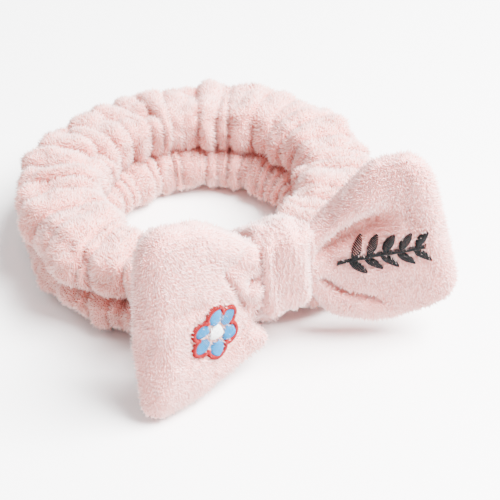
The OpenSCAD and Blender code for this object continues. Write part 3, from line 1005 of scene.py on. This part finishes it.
# %% Make both loops
loops = {}
for name in LOOPS:
    piece = loop_object(name)
    filled(piece, held_at_root)
    piece.data.materials.append(bow_ground)
    pile = grown(piece, bow_pile_tree, "bow_" + name + "_pile", Spacing=0.50 * MM,
                 Length=1.8 * MM, Width=0.85 * MM, Lean=0.3, Row_Pitch=ROW_PITCH,
                 Seed=20 + len(name))
    loops[name] = (piece, pile)
    print(name, "loop:", triangles(piece), "cloth and", triangles(pile), "pile triangles")

# %% [markdown]
# ## The wrap
# A strip of fleece goes round the pinched bow and the squeezed front of the band. It is a
# closed loop of cloth with a rolled, rounded face.

# %% Path of the wrap
WRAP_T = 4.5 * MM
WRAP_STEPS, WRAP_SIDES = 160, 36
WRAP_INSET = 1.6 * MM
WRAP_SKIN = 0.8 * MM
WRAP_CROWN = 3.2 * MM


def wrap_path():
    """A smooth closed line through corners beside the strip, its way outwards, and its turn."""
    front, rear = wrap_lo[1], wrap_hi[1]
    low, high = wrap_lo[2], wrap_hi[2]
    pts = np.array([
        (front, bow_z), (front + 1.5 * MM, bow_z + 18 * MM), (bow_y + 2 * MM, high),
        (bow_y + 12 * MM, high - 4 * MM), (rear - 8 * MM, waist_z + 23 * MM),
        (rear, waist_z + 14 * MM), (rear, waist_z - 12 * MM), (rear - 7 * MM, low + 1 * MM),
        (rear - 25 * MM, low + 0.5 * MM), (bow_y + 6 * MM, bow_z - 30 * MM),
        (front + 3 * MM, bow_z - 20 * MM)])
    count = len(pts)
    t = np.linspace(0, count, WRAP_STEPS, endpoint=False)
    i = t.astype(int)
    f = (t - i)[:, None]
    p0, p1, p2, p3 = (pts[(i + k) % count] for k in (-1, 0, 1, 2))
    path = 0.5 * (2 * p1 + (p2 - p0) * f + (2 * p0 - 5 * p1 + 4 * p2 - p3) * f ** 2
                  + (3 * p1 - p0 - 3 * p2 + p3) * f ** 3)
    tangent = np.roll(path, -1, 0) - np.roll(path, 1, 0)
    tangent /= np.linalg.norm(tangent, axis=1, keepdims=True)
    outward = np.stack([-tangent[:, 1], tangent[:, 0]], 1)
    if ((path - path.mean(0)) * outward).sum() < 0:
        outward = -outward
    return path, outward, t / count * 2 * math.pi


# %% The wrap's cloth
def wrap_object():
    """A flat bar with round edges and a crowned, wrinkled face, swept along the wrap's path."""
    path, outward, way = wrap_path()
    side_angle = np.linspace(0, 2 * math.pi, WRAP_SIDES, endpoint=False)
    c, s = np.cos(side_angle), np.sin(side_angle)
    half_w = wrap_half - WRAP_INSET
    x = half_w * np.sign(c) * np.abs(c) ** 0.55
    depth = WRAP_T / 2 * np.sign(s) * np.abs(s) ** 0.7
    grid = np.zeros((WRAP_STEPS, WRAP_SIDES, 3))
    for j in range(WRAP_SIDES):
        wrinkle = 1.2 * MM * np.sin(x[j] / (2.3 * MM) + 1.6 * np.sin(2 * way)) \
            + 0.8 * MM * np.sin(x[j] / (1.4 * MM) + 2.0 + 2.4 * np.sin(3 * way + 1))
        crown = -WRAP_CROWN * (x[j] / half_w) ** 2
        off = depth[j] - WRAP_T / 2 - WRAP_SKIN + (crown + wrinkle if s[j] > 0 else crown)
        grid[:, j, 0] = x[j]
        grid[:, j, 1] = path[:, 0] + outward[:, 0] * off
        grid[:, j, 2] = path[:, 1] + outward[:, 1] * off
    faces = tube_faces(WRAP_STEPS, WRAP_SIDES, True)
    piece = mesh_object("wrap_cloth", grid.reshape(-1, 3), faces)
    store_weight(piece, "row", grid[..., 0].reshape(-1))
    face_outwards(piece)
    return piece


wrap = wrap_object()
store_weight(wrap, "fold", np.zeros(len(wrap.data.vertices)))
wrap.data.materials.append(bow_ground)
wrap_pile = grown(wrap, bow_pile_tree, "wrap_pile", Spacing=0.50 * MM, Length=1.7 * MM,
                  Width=0.85 * MM, Lean=0.3, Row_Pitch=ROW_PITCH, Seed=31)
print("wrap:", triangles(wrap), "cloth and", triangles(wrap_pile), "pile triangles")

# %% [markdown]
# ## Threads
# Every seam and all the embroidery is thread, so one Geometry Nodes tree makes them all. The
# script lays each thread as a line of a few points on the cloth, and the tree gives the lines a
# round thickness, closed ends and a finish. A stitch dives into the cloth at both of its ends.

# %% Thread finishes
def thread_material(name, colour, roughness=0.45, sheen=0.1):
    """Spun thread: a colour with a slight change of tone along it."""
    material, tree, shader = new_material(name, roughness, sheen=sheen, specular=0.15)
    light = tuple(min(1, c * 1.6 + 0.004) for c in colour[:3]) + (1,)
    dark = tuple(c * 0.45 for c in colour[:3]) + (1,)
    tree.links.new(mix_colour(tree, noise(tree, 900.0, 3.0), dark, light),
                   shader.inputs["Base Color"])
    bump = add(tree, "ShaderNodeBump", Strength=0.4, Distance=0.0002)
    tree.links.new(noise(tree, 2500.0), bump.inputs["Height"])
    tree.links.new(bump.outputs[0], shader.inputs["Normal"])
    return material


THREADS = {
    "sewing_thread": thread_material("sewing_thread_pink", srgb(226, 176, 166)),
    "white_thread": thread_material("embroidery_white", srgb(240, 240, 240), 0.35),
    "blue_thread": thread_material("embroidery_blue", srgb(0, 98, 146), 0.6, 0.0),
    "red_thread": thread_material("embroidery_red", srgb(116, 0, 10), 0.6, 0.0),
    "black_thread": thread_material("embroidery_black", srgb(3, 3, 4), 0.6, 0.0),
}
print("threads:", sorted(THREADS))

# %% Thread tree
def build_thread_tree(finish):
    """A tree that gives lines a round thickness, closed ends and one finish."""
    tree = bpy.data.node_groups.new("thread", "GeometryNodeTree")
    make, link, maths = node_maker(tree)
    face = tree.interface
    face.new_socket("Geometry", in_out="INPUT", socket_type="NodeSocketGeometry")
    face.new_socket("Thickness", in_out="INPUT", socket_type="NodeSocketFloat")
    face.new_socket("Sides", in_out="INPUT", socket_type="NodeSocketInt")
    face.new_socket("Geometry", in_out="OUTPUT", socket_type="NodeSocketGeometry")
    given = make("NodeGroupInput")
    out = make("NodeGroupOutput")
    line = make("GeometryNodeMeshToCurve")
    link(given.outputs["Geometry"], line.inputs[0])
    profile = make("GeometryNodeCurvePrimitiveCircle", mode="RADIUS")
    link(maths("MULTIPLY", given.outputs["Thickness"], 0.5), profile.inputs["Radius"])
    link(given.outputs["Sides"], profile.inputs["Resolution"])
    swept = make("GeometryNodeCurveToMesh")
    link(line.outputs[0], swept.inputs["Curve"])
    link(profile.outputs[0], swept.inputs["Profile Curve"])
    swept.inputs["Fill Caps"].default_value = True
    real = make("GeometryNodeRealizeInstances")
    link(swept.outputs[0], real.inputs[0])
    dressed = make("GeometryNodeSetMaterial")
    dressed.inputs["Material"].default_value = finish
    link(real.outputs[0], dressed.inputs[0])
    link(dressed.outputs[0], out.inputs[0])
    return tree


THREAD_TREES = {name: build_thread_tree(finish) for name, finish in THREADS.items()}

# %% Lay threads along lines
THREAD_SIDES = 6


def laid_threads(name, lines, thickness, kind):
    """One mesh of threads that follow lines, each an array of points."""
    points, edges = [], []
    for line in lines:
        first = len(points)
        points.extend(tuple(p) for p in line)
        edges.extend((first + i, first + i + 1) for i in range(len(line) - 1))
    mesh = bpy.data.meshes.new(name + "_lines")
    mesh.from_pydata(points, edges, [])
    source = bpy.data.objects.new(name + "_lines", mesh)
    piece = grown(source, THREAD_TREES[kind], name, Thickness=thickness,
                  Sides=THREAD_SIDES)
    bpy.data.objects.remove(source)
    face_outwards(piece)
    piece.data.polygons.foreach_set("use_smooth", [True] * len(piece.data.polygons))
    return piece

# %% Stitches along a seam
def stitches_along(path, outward, pitch, length, depth):
    """Stitches on a closed path: each rises out of the cloth, runs, and dives back in."""
    closed = np.concatenate([path, path[:1]])
    ways = np.concatenate([outward, outward[:1]])
    walked = np.concatenate([[0], np.cumsum(np.linalg.norm(np.diff(closed, axis=0), axis=1))])
    count = int(walked[-1] / pitch)
    lines = []
    for i in range(count):
        middle = (i + 0.5) * walked[-1] / count
        at = middle + np.linspace(-0.5, 0.5, 5) * length
        lift = -depth * np.array([1, 0.15, 0, 0.15, 1])
        at = at % walked[-1]
        place = np.stack([np.interp(at, walked, closed[:, k]) for k in range(3)], -1)
        way = np.stack([np.interp(at, walked, ways[:, k]) for k in range(3)], -1)
        lines.append(place + way * lift[:, None])
    return lines


# %% [markdown]
# ## Seams of the band
# A row of stitches holds the fleece to the elastic all round, on both faces, at the bottom of
# the crease. The tube is also closed lengthwise low on its inner side, and its two ends are
# joined at the rear. The stitches follow the rows and columns of the gathered tube itself.

# %% Sew the band
WAIST_PITCH, WAIST_STITCH = 3.4 * MM, 2.6 * MM
SEAM_PITCH = 3.0 * MM
SEAM_STITCH, END_STITCH = 2.2 * MM, 2.4 * MM
SEWING_T = 0.8 * MM
DIVE = 0.8 * MM
PROUD = 1.2 * MM


def column_path(outer_column, inner_column):
    """A path round the ring midway between two columns of the tube, and its way outwards."""
    path = (grid[:, outer_column] + grid[:, inner_column]) / 2
    middle = np.array([0, ring_y, 0])
    way = path - middle
    way[:, 2] = 0
    return path, way / np.linalg.norm(way, axis=1, keepdims=True)


outer_path, outer_way = column_path(0, sides - 1)
inner_path, inner_way = column_path(ROLL_STEPS - 1, ROLL_STEPS)
low_column = ROLL_STEPS + ROLL_STEPS // 3      # low on the inner side
seam_path, seam_way = column_path(low_column, low_column)

# the name of each row of stitches: its path, way outwards, pitch, length and the nodes it is for
band_threads = {
    "waist_stitches_outer": (outer_path + outer_way * PROUD, outer_way, WAIST_PITCH, WAIST_STITCH,
                             ("waist_thread_outer_front", "waist_thread_outer_rear")),
    "waist_stitches_inner": (inner_path - inner_way * PROUD, -inner_way, WAIST_PITCH, WAIST_STITCH,
                             ("waist_thread_inner_front", "waist_thread_inner_rear")),
    "tube_seam_stitches": (seam_path, -seam_way, SEAM_PITCH, SEAM_STITCH,
                           ("tube_seam_front", "tube_seam_rear")),
}
band_sewn = []
for name, (path, way, pitch, length, nodes) in band_threads.items():
    lines = stitches_along(path, way, pitch, length, DIVE)
    piece = laid_threads(name, lines, SEWING_T, "sewing_thread")
    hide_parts(*nodes)
    band_sewn.append(piece)
    print(name, len(lines), "stitches")

# %% Join the tube's ends
rear_row = RINGS // 4
end_path = grid[rear_row]
end_way = end_path - end_path.mean(axis=0)
end_way /= np.linalg.norm(end_way, axis=1, keepdims=True)
end_lines = stitches_along(end_path, end_way, SEAM_PITCH, END_STITCH, DIVE)
end_seam = laid_threads("end_seam_stitches", end_lines, SEWING_T, "sewing_thread")
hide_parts("tube_end_seam")
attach(end_seam, "band_rear")
print("end seam:", len(end_lines), "stitches")

# %% [markdown]
# ## The elastic
# A braided elastic 20 mm wide runs round inside the seam. It is woven with cords along its
# length, so its faces are ribbed. It is a swept section too, as one closed ring.

# %% Weave the elastic
CORDS = 13
ELASTIC_STEPS = 300
RIB = 0.35 * MM


def elastic_object():
    """A ribbed flat band standing on edge round the ring."""
    elastic_w = elastic_hi[2] - elastic_lo[2]
    around = np.linspace(0, 2 * math.pi, ELASTIC_STEPS, endpoint=False)[:, None]
    share = np.linspace(-1, 1, CORDS * 4 + 1)
    rib = RIB * np.abs(np.cos(share * CORDS * math.pi / 2)) ** 0.7
    half = elastic_t / 2 - 0.3 * MM + rib
    heights = waist_z + share * (elastic_w / 2 - 0.2 * MM)
    out = np.concatenate([half, -half[::-1]])[None, :]
    z = np.concatenate([heights, heights[::-1]])[None, :]
    x = (mid_x + out) * np.cos(around)
    y = (mid_y + out) * np.sin(around) + ring_y
    points = np.stack([x, y, z + 0 * around], -1)
    faces = tube_faces(ELASTIC_STEPS, out.shape[1], True)
    made = mesh_object("braided_elastic", points.reshape(-1, 3), faces)
    face_outwards(made)
    return made

# %% Finish the elastic
def elastic_finish():
    """White braid: thin bands across the cords."""
    material, tree, shader = new_material("braided_elastic_white", 0.7, sheen=0.2)
    place = tree.nodes.new("ShaderNodeTexCoord")
    braid = add(tree, "ShaderNodeTexWave", Scale=240.0, Distortion=1.5)
    tree.links.new(place.outputs["Object"], braid.inputs["Vector"])
    colour = mix_colour(tree, braid.outputs["Fac"], srgb(222, 220, 216), srgb(246, 245, 243))
    tree.links.new(colour, shader.inputs["Base Color"])
    return material


elastic = elastic_object()
elastic.data.materials.append(elastic_finish())
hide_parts("elastic_front", "elastic_rear")
print("elastic:", CORDS, "cords,", triangles(elastic), "triangles")

# %% Zigzag that joins the elastic's ends
PASSES = 9
ZIGZAG_T = 0.5 * MM
join_lo, join_hi = box_of("elastic_join_stitches")
zigzag = [(join_lo[0] if i % 2 else join_hi[0], join_hi[1] + 0.1 * MM,
           join_lo[2] + (join_hi[2] - join_lo[2]) * i / (PASSES - 1)) for i in range(PASSES)]
elastic_join = laid_threads("elastic_join_zigzag", [zigzag], ZIGZAG_T, "white_thread")
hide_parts("elastic_join_stitches")
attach(elastic_join, "band_rear")
print("elastic's ends: joined by", PASSES - 1, "passes")

# %% [markdown]
# ## Embroidery
# Embroidery is satin stitch: threads laid side by side across a shape. Each shape here is a
# rule that says where a thread starts and ends; the ends are then laid on the loop's own skin,
# found by a ray from the front, so that the embroidery follows the folds.

# %% Lay a point on a loop
loop_trees = {}
for name, (piece, pile) in loops.items():
    loop_trees[name] = BVHTree.FromPolygons([v.co for v in piece.data.vertices],
                                            [tuple(p.vertices) for p in piece.data.polygons])


def on_loop(name, out, height, lift):
    """The point of a loop's front skin at a distance out and a height, raised by a lift."""
    loop = LOOPS[name]
    side, yaw = loop["side"], loop["yaw"]
    flat = Vector((side * (HINGE_X + out * math.cos(yaw)), HINGE_Y - out * math.sin(yaw),
                   LOOP_Z + height))
    forward = Vector((-side * math.sin(yaw), -math.cos(yaw), 0))
    hit, normal, _, _ = loop_trees[name].ray_cast(flat + forward * 0.06, -forward, 0.12)
    if hit is None:
        hit, normal = flat + forward * LOOP_T / 2, forward
    return np.array(hit + normal * lift)

# %% Satin stitch
STITCH_GAP = 0.66 * MM
THREAD_T = 0.64 * MM
OVER_PILE = 1.6 * MM


def satin(name, ends, crown=0.35 * MM):
    """Threads between pairs of ends, each arched over the cloth."""
    lines = []
    for (u0, v0), (u1, v1) in ends:
        share = np.linspace(0, 1, 7)
        lift = OVER_PILE + crown * np.sin(share * math.pi) - 0.9 * MM * (2 * share - 1) ** 8
        lines.append([on_loop(name, u0 + (u1 - u0) * t, v0 + (v1 - v0) * t, h)
                      for t, h in zip(share, lift)])
    return lines

# %% Ends of the threads in a patch and in a curved line
def disc_ends(u, v, radius, slant):
    """Ends of the threads across a round patch, at a slant."""
    ends = []
    count = int(2 * radius / STITCH_GAP)
    for i in range(count):
        off = -radius + (i + 0.5) * 2 * radius / count
        half = math.sqrt(radius ** 2 - off ** 2)
        c, s = math.cos(slant), math.sin(slant)
        ends.append(((u + off * c - half * s, v + off * s + half * c),
                     (u + off * c + half * s, v + off * s - half * c)))
    return ends


def ring_ends(u, v, radius, width, from_angle, to_angle):
    """Ends of the threads across a curved line, like spokes."""
    count = int(abs(to_angle - from_angle) * radius / STITCH_GAP)
    ends = []
    for i in range(count + 1):
        a = from_angle + (to_angle - from_angle) * i / max(count, 1)
        inner, outer = radius - width / 2, radius + width / 2
        ends.append(((u + inner * math.cos(a), v + inner * math.sin(a)),
                     (u + outer * math.cos(a), v + outer * math.sin(a))))
    return ends


# %% The flower
FLOWER_U, FLOWER_V = 20 * MM, -12 * MM
PETALS = 6
PETAL_RING = 8.5 * MM
PETAL_R = 4.2 * MM
OUTLINE_W = 1.7 * MM

petal_ends, outline_ends = [], []
for k in range(PETALS):
    a = k * 2 * math.pi / PETALS + math.pi / PETALS
    u = FLOWER_U + PETAL_RING * math.cos(a)
    v = FLOWER_V + PETAL_RING * math.sin(a)
    petal_ends += disc_ends(u, v, PETAL_R - 0.4 * MM, a)
    outline_ends += ring_ends(u, v, PETAL_R + OUTLINE_W / 2 - 0.4 * MM, OUTLINE_W,
                              a - math.radians(104), a + math.radians(104))
flower_petals = laid_threads("flower_petals_satin", satin("left", petal_ends), THREAD_T,
                             "blue_thread")
flower_outline = laid_threads("flower_outline_satin", satin("left", outline_ends, 0.5 * MM),
                              THREAD_T, "red_thread")
flower_eye = laid_threads("flower_eye_satin",
                          satin("left", disc_ends(FLOWER_U, FLOWER_V, 3.6 * MM, 0.5), 0.6 * MM),
                          THREAD_T, "white_thread")
print("flower:", len(petal_ends) + len(outline_ends), "threads")

# %% The sprig
SPRIG_FROM, SPRIG_LEN = 4 * MM, 40 * MM
SPRIG_TURN = math.radians(15)
SPRIG_V = -1 * MM
STEM_W = 1.7 * MM
LEAF_PAIRS = 5
LEAF_L, LEAF_W = 9.5 * MM, 3.7 * MM


def turned(along, across):
    """A point of the sprig, whose stem rises outwards in a slight curve."""
    across = across + 1.6 * MM * math.sin(along / SPRIG_LEN * math.pi)
    c, s = math.cos(SPRIG_TURN), math.sin(SPRIG_TURN)
    return SPRIG_FROM + along * c - across * s, SPRIG_V + along * s + across * c


stem_ends = []
steps = int(SPRIG_LEN / STITCH_GAP)
for i in range(steps):
    along = (i + 0.5) * SPRIG_LEN / steps
    stem_ends.append((turned(along - 0.5 * MM, -STEM_W / 2), turned(along + 0.5 * MM, STEM_W / 2)))

leaf_ends = []
for pair in range(LEAF_PAIRS):
    for side in (-1, 1):
        root = (5 + 7.2 * pair) * MM + (1.5 * MM if side > 0 else 0)
        way = side * math.radians(48)
        count = int(LEAF_L / STITCH_GAP)
        for i in range(count):
            t = (i + 0.5) / count
            half = LEAF_W / 2 * math.sin(math.pi * t ** 0.8) ** 0.8
            along = root + (1.2 * MM + LEAF_L * t) * math.cos(way)
            across = (1.2 * MM + LEAF_L * t) * math.sin(way)
            du, dv = -half * math.sin(way), half * math.cos(way)
            leaf_ends.append((turned(along - du, across - dv), turned(along + du, across + dv)))
sprig_stem = laid_threads("sprig_stem_satin", satin("right", stem_ends), THREAD_T, "black_thread")
sprig_leaves = laid_threads("sprig_leaves_satin", satin("right", leaf_ends), THREAD_T,
                            "black_thread")
print("sprig:", len(stem_ends) + len(leaf_ends), "threads")

# %% [markdown]
# ## Inside the loops
# Each piece of embroidery is backed by a square of soft interfacing that is fused to the inner
# side of the front layer, so it takes the same folds. It is a small grid laid the same way.

# %% Backings
def backing_finish():
    """White felted fibres."""
    material, tree, shader = new_material("interfacing_white", 0.9)
    fibres = noise(tree, 700.0, 6.0)
    colour = mix_colour(tree, fibres, srgb(226, 226, 224), srgb(247, 247, 246))
    tree.links.new(colour, shader.inputs["Base Color"])
    return material


BACKING_SIDE = 30 * MM
BACKING_STEPS = 25
BACKING_FRONT, BACKING_REAR = -1.1 * MM, -1.6 * MM
BACKING_AT = {"left": (19 * MM, -9 * MM), "right": (21 * MM, 5 * MM)}
interfacing = backing_finish()


def backing_object(name, middle_u, middle_v):
    """A thin sheet just behind a loop's front skin."""
    count = BACKING_STEPS
    steps = np.linspace(-BACKING_SIDE / 2, BACKING_SIDE / 2, count)
    points = [on_loop(name, middle_u + du, middle_v + dv, lift)
              for lift in (BACKING_FRONT, BACKING_REAR) for du in steps for dv in steps]
    faces = []
    for i in range(count - 1):
        for j in range(count - 1):
            a = i * count + j
            quad = (a, a + 1, a + count + 1, a + count)
            faces.append(quad)
            faces.append(tuple(k + count * count for k in reversed(quad)))
    rim = [i * count for i in range(count)] + [count * (count - 1) + j for j in range(1, count)] \
        + [i * count + count - 1 for i in range(count - 2, -1, -1)] \
        + [j for j in range(count - 2, 0, -1)]
    for i, a in enumerate(rim):
        b = rim[(i + 1) % len(rim)]
        faces.append((b, a, a + count * count, b + count * count))
    made = mesh_object(name + "_interfacing", points, faces)
    face_outwards(made)
    made.data.materials.append(interfacing)
    return made


backings = {name: backing_object(name, u, v) for name, (u, v) in BACKING_AT.items()}
print("backings:", [triangles(made) for made in backings.values()], "triangles")

# %% [markdown]
# ## Seams under the loops
# Each loop is closed by a row of short stitches along its lower edge. Their places are found by
# rays from below, so that the stitches lie on the cloth whatever the cloth pass did to it.

# %% Sew the lower edges
SEAM_POINTS = 24
STOPS_SHORT = 12 * MM
ABOVE_EDGE, BEHIND_SKIN, WELL_BELOW = 7 * MM, 6 * MM, 30 * MM


def lower_seam(name):
    """Stitches along a loop's lower edge."""
    points, ways = [], []
    loop = LOOPS[name]
    for u in np.linspace(BELLY_OUT, loop["reach"] - STOPS_SHORT, SEAM_POINTS):
        low, _ = edges(loop, np.array([u]))
        spot = Vector(on_loop(name, u, float(low[0]) + ABOVE_EDGE, 0.0))
        below = spot + Vector((0, BEHIND_SKIN, -WELL_BELOW))
        hit, normal, _, _ = loop_trees[name].ray_cast(below, Vector((0, 0, 1)), 0.1)
        points.append(hit if hit else spot)
        ways.append(normal if hit else Vector((0, 0, -1)))
    points, ways = np.array(points), np.array(ways)
    share = np.linspace(0.1, 0.9, 5)[:, None]
    lift = np.array([-0.6, 0.7, 0.9, 0.7, -0.6])[:, None] * MM
    return [a + (b - a) * share + way * lift for a, b, way in zip(points, points[1:], ways)]


loop_seams = {}
for name in LOOPS:
    lines = lower_seam(name)
    loop_seams[name] = laid_threads(name + "_loop_stitches", lines, SEWING_T, "sewing_thread")
    print(name, "loop:", len(lines), "stitches")

# %% [markdown]
# ## The pinched middle
# Under the wrap the bow's cloth is gathered into a narrow bundle of pleats, with a thread wound
# round it, and it is tacked through to the band. None of this shows from outside, but it is
# what holds the real bow together, so it is modelled as it is.

# %% Pleats
CORE_STEPS, CORE_SIDES = 25, 96
CORE_REACH = 8 * MM
CORE_HALF_T, CORE_HALF_H = 5.2 * MM, 15.5 * MM
PLEATS, PLEAT_DEPTH = 14, 0.7 * MM


def core_object():
    """The pleated bundle between the loops' inner ends."""
    x = np.linspace(-CORE_REACH, CORE_REACH, CORE_STEPS)[:, None]
    turn = np.linspace(0, 2 * math.pi, CORE_SIDES, endpoint=False)[None, :]
    waist = 1 - 0.18 * np.exp(-(x / (4 * MM)) ** 2)
    pleat = PLEAT_DEPTH * np.cos(turn * PLEATS)
    c, s = np.cos(turn), np.sin(turn)
    y = bow_y + ((CORE_HALF_T + pleat) * np.sign(c) * np.abs(c) ** 0.8) * waist
    z = bow_z + ((CORE_HALF_H + pleat) * np.sign(s) * np.abs(s) ** 0.8) * waist
    points = np.stack([x + 0 * turn, y, z], -1)
    faces = tube_faces(CORE_STEPS, CORE_SIDES, False)
    faces.append(tuple(range(CORE_SIDES - 1, -1, -1)))
    faces.append(tuple((CORE_STEPS - 1) * CORE_SIDES + j for j in range(CORE_SIDES)))
    made = mesh_object("pinched_pleats", points.reshape(-1, 3), faces)
    # painted shade: the pleats under the wrap are painted halfway to the fold shade
    store_weight(made, "fold", np.full(len(made.data.vertices), 0.5))
    face_outwards(made)
    made.data.materials.append(bow_ground)
    return made


core = core_object()
print("pinched middle:", PLEATS, "pleats,", triangles(core), "triangles")

# %% Winding round the pleats
TURNS, STEPS_PER_TURN = 4, 40
WINDING_T, WINDING_PITCH = 1.3 * MM, 1.4 * MM
WINDING_HALF_T, WINDING_HALF_H = 5.4 * MM, 14.6 * MM
around = np.linspace(0, TURNS * 2 * math.pi, TURNS * STEPS_PER_TURN)
winding = np.stack([(around / (2 * math.pi) - TURNS / 2) * WINDING_PITCH,
                    bow_y + WINDING_HALF_T * np.cos(around),
                    bow_z + WINDING_HALF_H * np.sin(around)], -1)
gather = laid_threads("gather_winding", [winding], WINDING_T, "sewing_thread")
print("winding:", TURNS, "turns of thread")

# %% Tacks, and the stitches that close the wrap
TACK_T = 0.9 * MM
TACK_SIDE = 8 * MM
CLOSING_STITCHES = 6
tack_lo, tack_hi = box_of("wrap_tack_stitches")
tack_z = (tack_lo[2] + tack_hi[2]) / 2
tack_lines = [[(x, tack_lo[1], tack_z), (x, tack_hi[1], tack_z)]
              for x in (-TACK_SIDE, 0, TACK_SIDE)]
tacks = laid_threads("tack_threads", tack_lines, TACK_T, "sewing_thread")

close_lo, close_hi = box_of("wrap_closing_stitches")
closing_lines = []
for i in range(CLOSING_STITCHES):
    z = close_lo[2] + (close_hi[2] - close_lo[2]) * (i + 0.5) / CLOSING_STITCHES
    share = np.linspace(-1, 1, 6)
    arch = wrap_hi[1] + 0.9 * MM - 1.6 * MM * share ** 4
    closing_lines.append(np.stack([share * 2.6 * MM, arch, z + share * 1.1 * MM], -1))
closing = laid_threads("wrap_closing_threads", closing_lines, TACK_T, "sewing_thread")
print("wrap:", len(tack_lines), "tacks and", len(closing_lines), "closing stitches")

# %% [markdown]
# ## Which body each piece follows
# The tube, its pile, its seams and its elastic are baked in place in the frame, and so are the
# loops and their pile. The wrap follows the front of the band, and everything sewn on a loop
# follows that loop's body.

# %% Bake the band in place
for piece in [cover] + piles:
    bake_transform(piece)
for piece in band_sewn + [elastic]:
    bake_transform(piece)
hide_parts("cover_front", "cover_rear")
print("pieces that stretch:", len([cover, elastic] + piles + band_sewn))

# %% Bake the loops, and tie the wrap
for name, (piece, pile) in loops.items():
    side = LOOPS[name]["side"]
    for part in (piece, pile):
        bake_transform(part)
    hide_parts("bow_" + name + "_loop")

for part in (wrap, wrap_pile):
    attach(part, "band_front")
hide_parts("wrap")

# %% Tie the small pieces
on_left = {flower_petals: "flower_petals", flower_outline: "flower_outline",
           flower_eye: "flower_eye", backings["left"]: "left_backing",
           loop_seams["left"]: "left_loop_seam"}
on_right = {sprig_stem: "sprig_stem", sprig_leaves: "sprig_leaves",
            backings["right"]: "right_backing", loop_seams["right"]: "right_loop_seam"}
on_front = {core: "bow_core", gather: "gather_thread", tacks: "wrap_tack_stitches",
            closing: "wrap_closing_stitches"}
for group, body in ((on_left, "bow_left"), (on_right, "bow_right"), (on_front, "band_front")):
    for piece, node in group.items():
        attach(piece, body)
        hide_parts(node)
print("small pieces:", len(on_left), "left,", len(on_right), "right,", len(on_front), "front")

# %% [markdown]
# ## Studio
# A plain white floor, even light from all round, one broad strong light from the front right,
# which leaves the outer left of the ring in soft shade, and a weak one behind on the left.

# %% Floor
FLOOR_HALF = 3.0


def white_floor():
    """A large matt floor with a barely seen cloudiness."""
    mesh = bpy.data.meshes.new("floor")
    s = FLOOR_HALF
    mesh.from_pydata([(-s, -s, 0), (s, -s, 0), (s, s, 0), (-s, s, 0)], [], [(0, 1, 2, 3)])
    floor = bpy.data.objects.new("floor", mesh)
    bpy.context.scene.collection.objects.link(floor)
    material, tree, shader = new_material("floor_white", 0.9)
    colour = mix_colour(tree, noise(tree, 3.0), (0.93, 0.93, 0.93, 1), (0.95, 0.95, 0.95, 1))
    tree.links.new(colour, shader.inputs["Base Color"])
    floor.data.materials.append(material)


white_floor()
print("floor:", FLOOR_HALF * 2, "m square")

# %% Lights
WORLD_LIGHT = 0.76
LIT_POINT = Vector((0, 0, 0.03))


def lamp(name, place, size, power):
    """A square soft light that faces the headband."""
    data = bpy.data.lights.new(name, "AREA")
    data.size = size
    data.energy = power
    made = bpy.data.objects.new(name, data)
    made.location = place
    made.rotation_mode = "QUATERNION"
    made.rotation_quaternion = (LIT_POINT - Vector(place)).to_track_quat("-Z", "Y")
    bpy.context.scene.collection.objects.link(made)


world = bpy.data.worlds.new("studio")
world.use_nodes = True
sky = world.node_tree.nodes["Background"]
sky.inputs["Color"].default_value = (1, 1, 1, 1)
sky.inputs["Strength"].default_value = WORLD_LIGHT
bpy.context.scene.world = world
lamp("key", place=(0.60, -0.50, 1.15), size=0.9, power=215.0)
lamp("fill", place=(-0.7, 0.5, 1.1), size=0.9, power=8.0)
print("lamps:", [light.name for light in bpy.data.lights])
